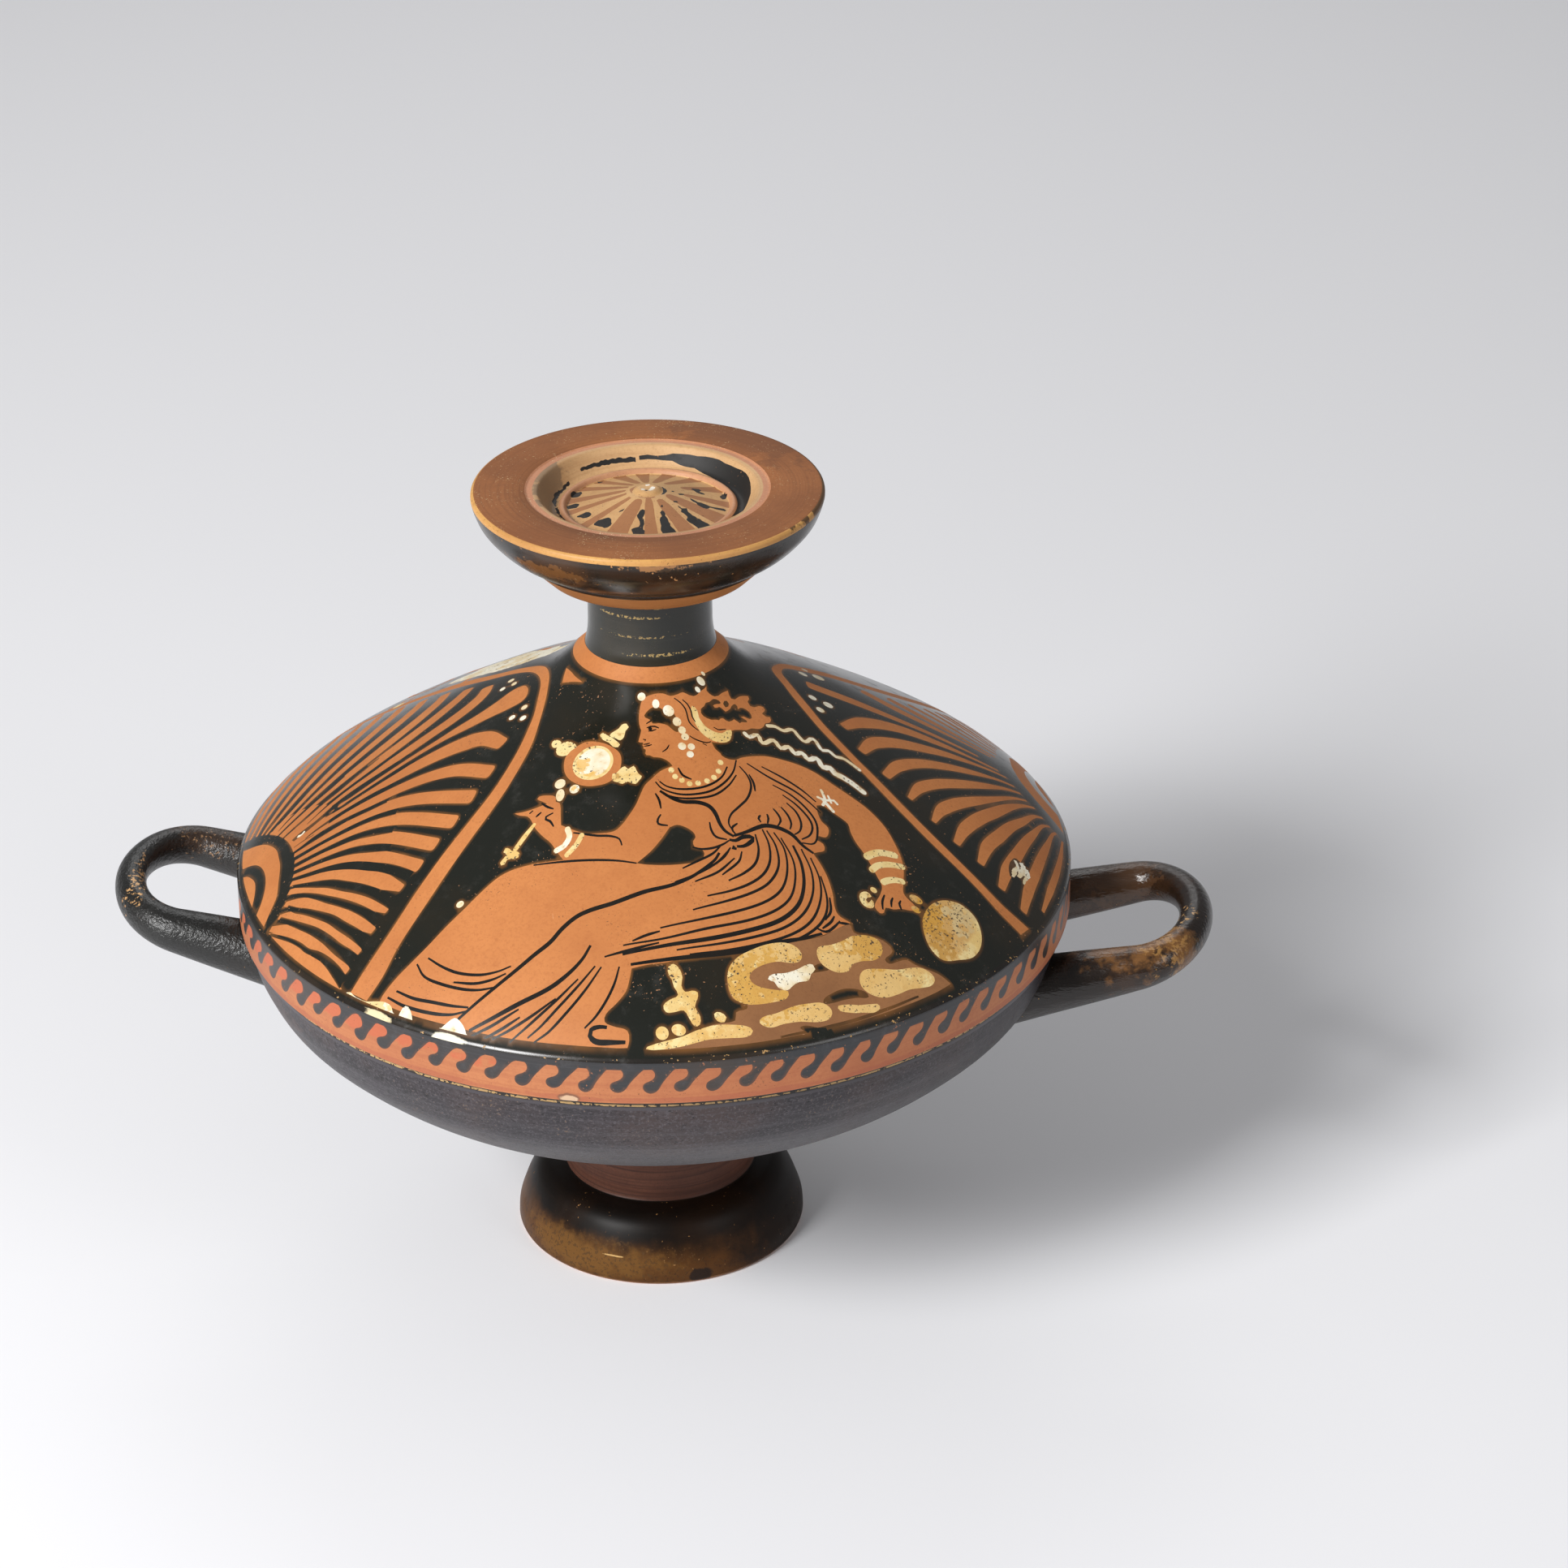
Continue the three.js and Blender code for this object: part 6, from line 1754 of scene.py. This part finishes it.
footCoats = {
    # The bare stem's clay is darkened as painted shade from the bowl above it.
    "stem": clayMaterial(
        "footBareStemShaded", (0.135, 0.047, 0.025), (0.055, 0.018, 0.010), 0.5, 0.24, (0.02, 0.010, 0.007), 0.9),
    "ring": glossMaterial(
        "footGloss", (0.006, 0.004, 0.003), (0.016, 0.007, 0.003), 0.42, worn=0.16, speckSize=900.0,
        wornColour=(0.26, 0.13, 0.045), wheel=0.15, dust=(0.02, 0.012, 0.007), dustShare=0.2, scratchShare=0.6,
        patches=(
            ((0.085, 0.033, 0.008), (-5, 0, 2), (52, 52, 9), 0.16, 1.0, 120.0, 0.0, 0.3),
            ((0.155, 0.070, 0.016), (-15, -27, 5), (20, 14, 4), 0.5, 0.8, 300.0, 0.0, 0.45),
            ((0.19, 0.095, 0.028), (-10, -27, 5), (24, 14, 5), 0.7, 0.7, 500.0, 0.57),
            ((0.03, 0.013, 0.006), (-8, -20, 4), (34, 24, 7), 0.6, 0.6, 500.0, 0.56),
            ((0.24, 0.11, 0.035), (0, 0, 0.2), (90, 90, 0.7), 0.3, 0.7, 300.0),
            # This patch keeps the foot's right-hand side black: painted shade.
            ((0.008, 0.005, 0.004), (34, -6, 6), (18, 30, 12), 0.3, 0.9, 200.0, 0.0, 0.4),
            ((0.015, 0.009, 0.007), (12.5, -33.6, 2), (2.8, 4, 2), 0.2, 0.9, 500.0),
            ((0.55, 0.34, 0.13), (-9, -34, 6.8), (2.6, 4, 0.2), 0.3, 0.9, 900.0)),
        shine=0.14),
    "underside": clayMaterial("footUnderside", (0.46, 0.2, 0.085), (0.28, 0.1, 0.045)),
}


def footCoat(radius, height):
    hollow = heightOn(sorted(footHollow), radius)[0] + footSizes["hollowCoat"]
    if height < footSizes["restCoat"] or radius < footSizes["hollowRadius"] and height < hollow:
        return "underside"
    return "stem" if height > footSizes["stemCoat"] else "ring"


foot = turned("foot", footProfile)
coatFaces(foot, footCoats, footCoat)
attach(foot, "vessel")
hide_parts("foot")

# Handles: a rolled coil bent into a loop, its roots sunk in the bowl's wall. Front is the side with the figure;
# thick and high are full sizes, and uneven is how far the roll's thickness wanders under the potter's fingers
handleSizes = {
    "frontArm": 20.7,
    "backArm": 21.7,
    "rootStart": 84.5,
    "bend": 14.5,
    "rise": 7.8,
    "tipHigh": 8.3,
    "frontRoot": (17.5, 15.8),
    "backRoot": (15.2, 14.2),
    "drop": 9.5,
    "sides": 56,
    "armSteps": 36,
    "bendSteps": 72,
    "uneven": 0.012,
    "dents": 9,
    "dentWide": 3,
    "dentMean": 0.4,
    "rootDepth": 1,  # the roots are cut to the bowl's wall, this far inside it
    "cutLow": 40,
    "cutStart": 45,
    "cutTop": 110,
}


# The loop's middle line from above: out along one arm, round the bend and back along the other
def handleLine(bendStart, armOf):
    s = handleSizes
    pieces = s["armSteps"]
    arm = [s["rootStart"] + (bendStart - s["rootStart"]) * k / pieces for k in range(pieces)]
    line = [(out, -armOf[-1]) for out in arm]
    for k in range(s["bendSteps"] + 1):
        angle = -math.pi / 2 + math.pi * k / s["bendSteps"]
        across = math.sin(angle)
        reach = armOf[1] if across > 0 else armOf[-1] if across < 0 else 0
        line.append((bendStart + s["bend"] * math.cos(angle), across * reach))
    return line + [(out, armOf[1]) for out in arm[::-1]]


def handlePiece(name, turn, frontSide, projection, tipThick, lift, material, seed):
    draw = random.Random(seed)
    s = handleSizes
    reach = bowlSizes["radius"] + projection
    armOf = {frontSide: s["frontArm"], -frontSide: s["backArm"]}
    base = bowlSizes["ledge"] + lift - s["drop"]
    spots = [Vector((x, y, base + (x - bowlSizes["radius"]) * s["rise"] / projection))
             for x, y in handleLine(reach - s["bend"], armOf)]
    normal = Vector((-s["rise"], 0, projection)).normalized()
    waves = [(draw.uniform(0.5, 1), draw.uniform(0.06, 0.22), draw.uniform(0, 6.3), draw.randint(0, 3))
             for _ in range(s["dents"])]
    shell = Shell()
    rings = []
    for i, place in enumerate(spots):
        along = (spots[min(i + 1, len(spots) - 1)] - spots[max(i - 1, 0)]).normalized()
        side = normal.cross(along).normalized()
        share = (reach - place.x) / (reach - s["rootStart"])
        rootWide, rootHigh = s["frontRoot"] if place.y * frontSide > 0 else s["backRoot"]
        halfWide = (tipThick + (rootWide - tipThick) * share) / 2
        halfHigh = (s["tipHigh"] + (rootHigh - s["tipHigh"]) * share) / 2
        rings.append(range(len(shell.spots), len(shell.spots) + s["sides"]))
        for k in range(s["sides"]):
            angle = 2 * math.pi * k / s["sides"]
            dent = sum(size * math.sin(i * pace + start + folds * angle) for size, pace, start, folds in waves)
            swell = 1 + s["uneven"] * (dent / s["dentWide"] - s["dentMean"])
            shell.spots.append(place + side * halfWide * swell * math.cos(angle)
                               + normal * halfHigh * swell * math.sin(angle))
    for low, high in zip(rings, rings[1:]):
        shell.bridge(low, high, "roll")
    shell.addFace(rings[0], "roll")
    shell.addFace(rings[-1][::-1], "roll")
    about = Matrix.Rotation(turn, 3, "Z")
    piece = newPiece(name, [about @ place * mm for place in shell.spots], shell.faces, [material],
                     [0] * len(shell.faces))
    inWall = [(r - s["rootDepth"], z) for r, z in bowlWall if z > s["cutStart"]]
    top = [(bowlSizes["radius"] - s["rootDepth"], s["cutTop"]), (0, s["cutTop"])]
    cutter = turned("rootCutter", [(0, s["cutLow"]), *inWall, *top], turnSizes["cutterSteps"])
    selectOnly(piece)
    tidyFaces(weld=False)
    cut = piece.modifiers.new("cut", "BOOLEAN")
    cut.operation = "DIFFERENCE"
    cut.object = cutter
    bpy.ops.object.modifier_apply(modifier="cut")
    bpy.data.objects.remove(cutter)
    smooth()
    return piece


leftHandle = handlePiece("leftHandle", math.pi, 1, 29.1, 7.4, 2, glossMaterial(
    "handleBlackGloss", (0.008, 0.008, 0.007), (0.014, 0.011, 0.009), 0.34, worn=0.12, speckSize=900.0,
    wornColour=(0.36, 0.18, 0.07), dust=(0.03, 0.028, 0.026), scratchShare=0.4, patches=(
        ((0.07, 0.035, 0.018), (-112, 20, 93), (10, 5, 6), 0.6, 0.35, 420.0),
        ((0.34, 0.19, 0.09), (-111, 18, 92), (8, 5, 6), 0.6, 0.7, 420.0, 0.6),
        ((0.60, 0.34, 0.14), (-124, -9.5, 96.6), (2.4, 12, 5), 0.8, 1.0, 420.0, 0.535),
        ((0.42, 0.22, 0.09), (-119, -17, 91), (9, 2, 3), 0.7, 0.8, 420.0, 0.6)),
    shine=0.6, brushed=(1000, 600, 1300), relief=0.7), 3)
rightHandle = handlePiece("rightHandle", 0, -1, 31.9, 8, -1.4, glossMaterial(
    "handleBrownGloss", (0.010, 0.006, 0.004), (0.045, 0.020, 0.008), 0.22, worn=0.14, speckSize=900.0,
    wornColour=(0.36, 0.2, 0.08), dust=(0.045, 0.025, 0.014), patches=(
        ((0.09, 0.042, 0.018), (112, 18, 88), (9, 7, 8), 0.7, 0.5, 420.0),
        ((0.17, 0.075, 0.022), (117, -17, 87), (14, 8, 6), 0.7, 0.9, 240.0, 0.0, 0.35),
        ((0.30, 0.155, 0.045), (121, -15, 87), (9, 8, 5), 0.8, 0.85, 300.0, 0.47),
        ((0.012, 0.007, 0.005), (131, -2, 90), (4, 14, 10), 0.5, 0.9, 300.0, 0.0, 0.4),
        ((0.50, 0.28, 0.10), (128, -6, 91), (2.4, 5, 3), 0.7, 0.95, 260.0, 0.57)),
    brushed=(300, 1300, 900), relief=0.5), 4)
for handle, node, slot in ((leftHandle, "handle_left", "black_gloss"), (rightHandle, "handle_right", "brown_gloss")):
    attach(handle, "vessel")
    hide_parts(node)
print("bowl, foot and handles made")

# Floor, lights, room and camera, in metres and degrees
stageSizes = {
    "floor": 12,
    "aim": (0, 0, 0.1),
    "roomLight": 0.22,
    "roomSeen": 0.95,
    "lens": 103.4,
    "sensor": 36,
    "clip": 50,
    "camera": (0.0916, -0.9516, 0.614),
    "yaw": 1.871,
    "pitch": 27.373,
    "roll": -0.248,
    "turn": 5.5,  # the camera was fitted with the painting straight ahead; the handles stand this far round from it
}
scene = bpy.context.scene
bpy.ops.mesh.primitive_plane_add(size=stageSizes["floor"])
floor = bpy.context.object
floor.name = "floor"
floorMaterial = bpy.data.materials.new("paleFloor")
floorMaterial.use_nodes = True
floorShader = floorMaterial.node_tree.nodes["Principled BSDF"]
floorShader.inputs["Base Color"].default_value = (0.85, 0.85, 0.87, 1)
floorShader.inputs["Roughness"].default_value = 0.9
floor.data.materials.append(floorMaterial)


def softLight(name, place, size, power):
    bpy.ops.object.light_add(type="AREA", location=place)
    light = bpy.context.object
    light.name = name
    light.data.size = size
    light.data.energy = power
    light.rotation_euler = (Vector(stageSizes["aim"]) - Vector(place)).to_track_quat("-Z", "Y").to_euler()


softLight("keyLight", (-0.95, -1.15, 1.15), 0.6, 40)
softLight("fillLight", (1.2, -0.9, 0.9), 0.6, 4)
softLight("backLight", (-0.1, 1.2, 1.1), 0.8, 4)

# The room is pale to the camera and dim for the gloss, so that the blacks stay black
world = bpy.data.worlds.new("paleRoom")
scene.world = world
world.use_nodes = True
room = world.node_tree
background = room.nodes["Background"]
background.inputs[0].default_value = (0.95, 0.95, 0.97, 1)
seen = add(room, "ShaderNodeLightPath").outputs["Is Camera Ray"]
strength = add(room, "ShaderNodeMapRange", {
    "Value": seen, "To Min": stageSizes["roomLight"], "To Max": stageSizes["roomSeen"]}).outputs[0]
room.links.new(strength, background.inputs[1])
scene.view_settings.view_transform = "Standard"

cameraData = bpy.data.cameras.new("camera")
camera = bpy.data.objects.new("camera", cameraData)
scene.collection.objects.link(camera)
scene.camera = camera
cameraData.lens = stageSizes["lens"]
cameraData.sensor_width = stageSizes["sensor"]
cameraData.clip_end = stageSizes["clip"]
yaw, pitch, roll, turn = (math.radians(stageSizes[name]) for name in ("yaw", "pitch", "roll", "turn"))
right = Vector((math.cos(yaw), -math.sin(yaw), 0))
up = Vector((math.sin(yaw) * math.sin(pitch), math.cos(yaw) * math.sin(pitch), math.cos(pitch)))
forward = Vector((math.sin(yaw) * math.cos(pitch), math.cos(yaw) * math.cos(pitch), -math.sin(pitch)))
right, up = right * math.cos(roll) + up * math.sin(roll), up * math.cos(roll) - right * math.sin(roll)
turnAll = Matrix.Rotation(turn, 3, "Z")
basis = Matrix([turnAll @ axis for axis in (right, up, -forward)]).transposed().to_4x4()
basis.translation = Vector(stageSizes["camera"])
camera.matrix_world = basis
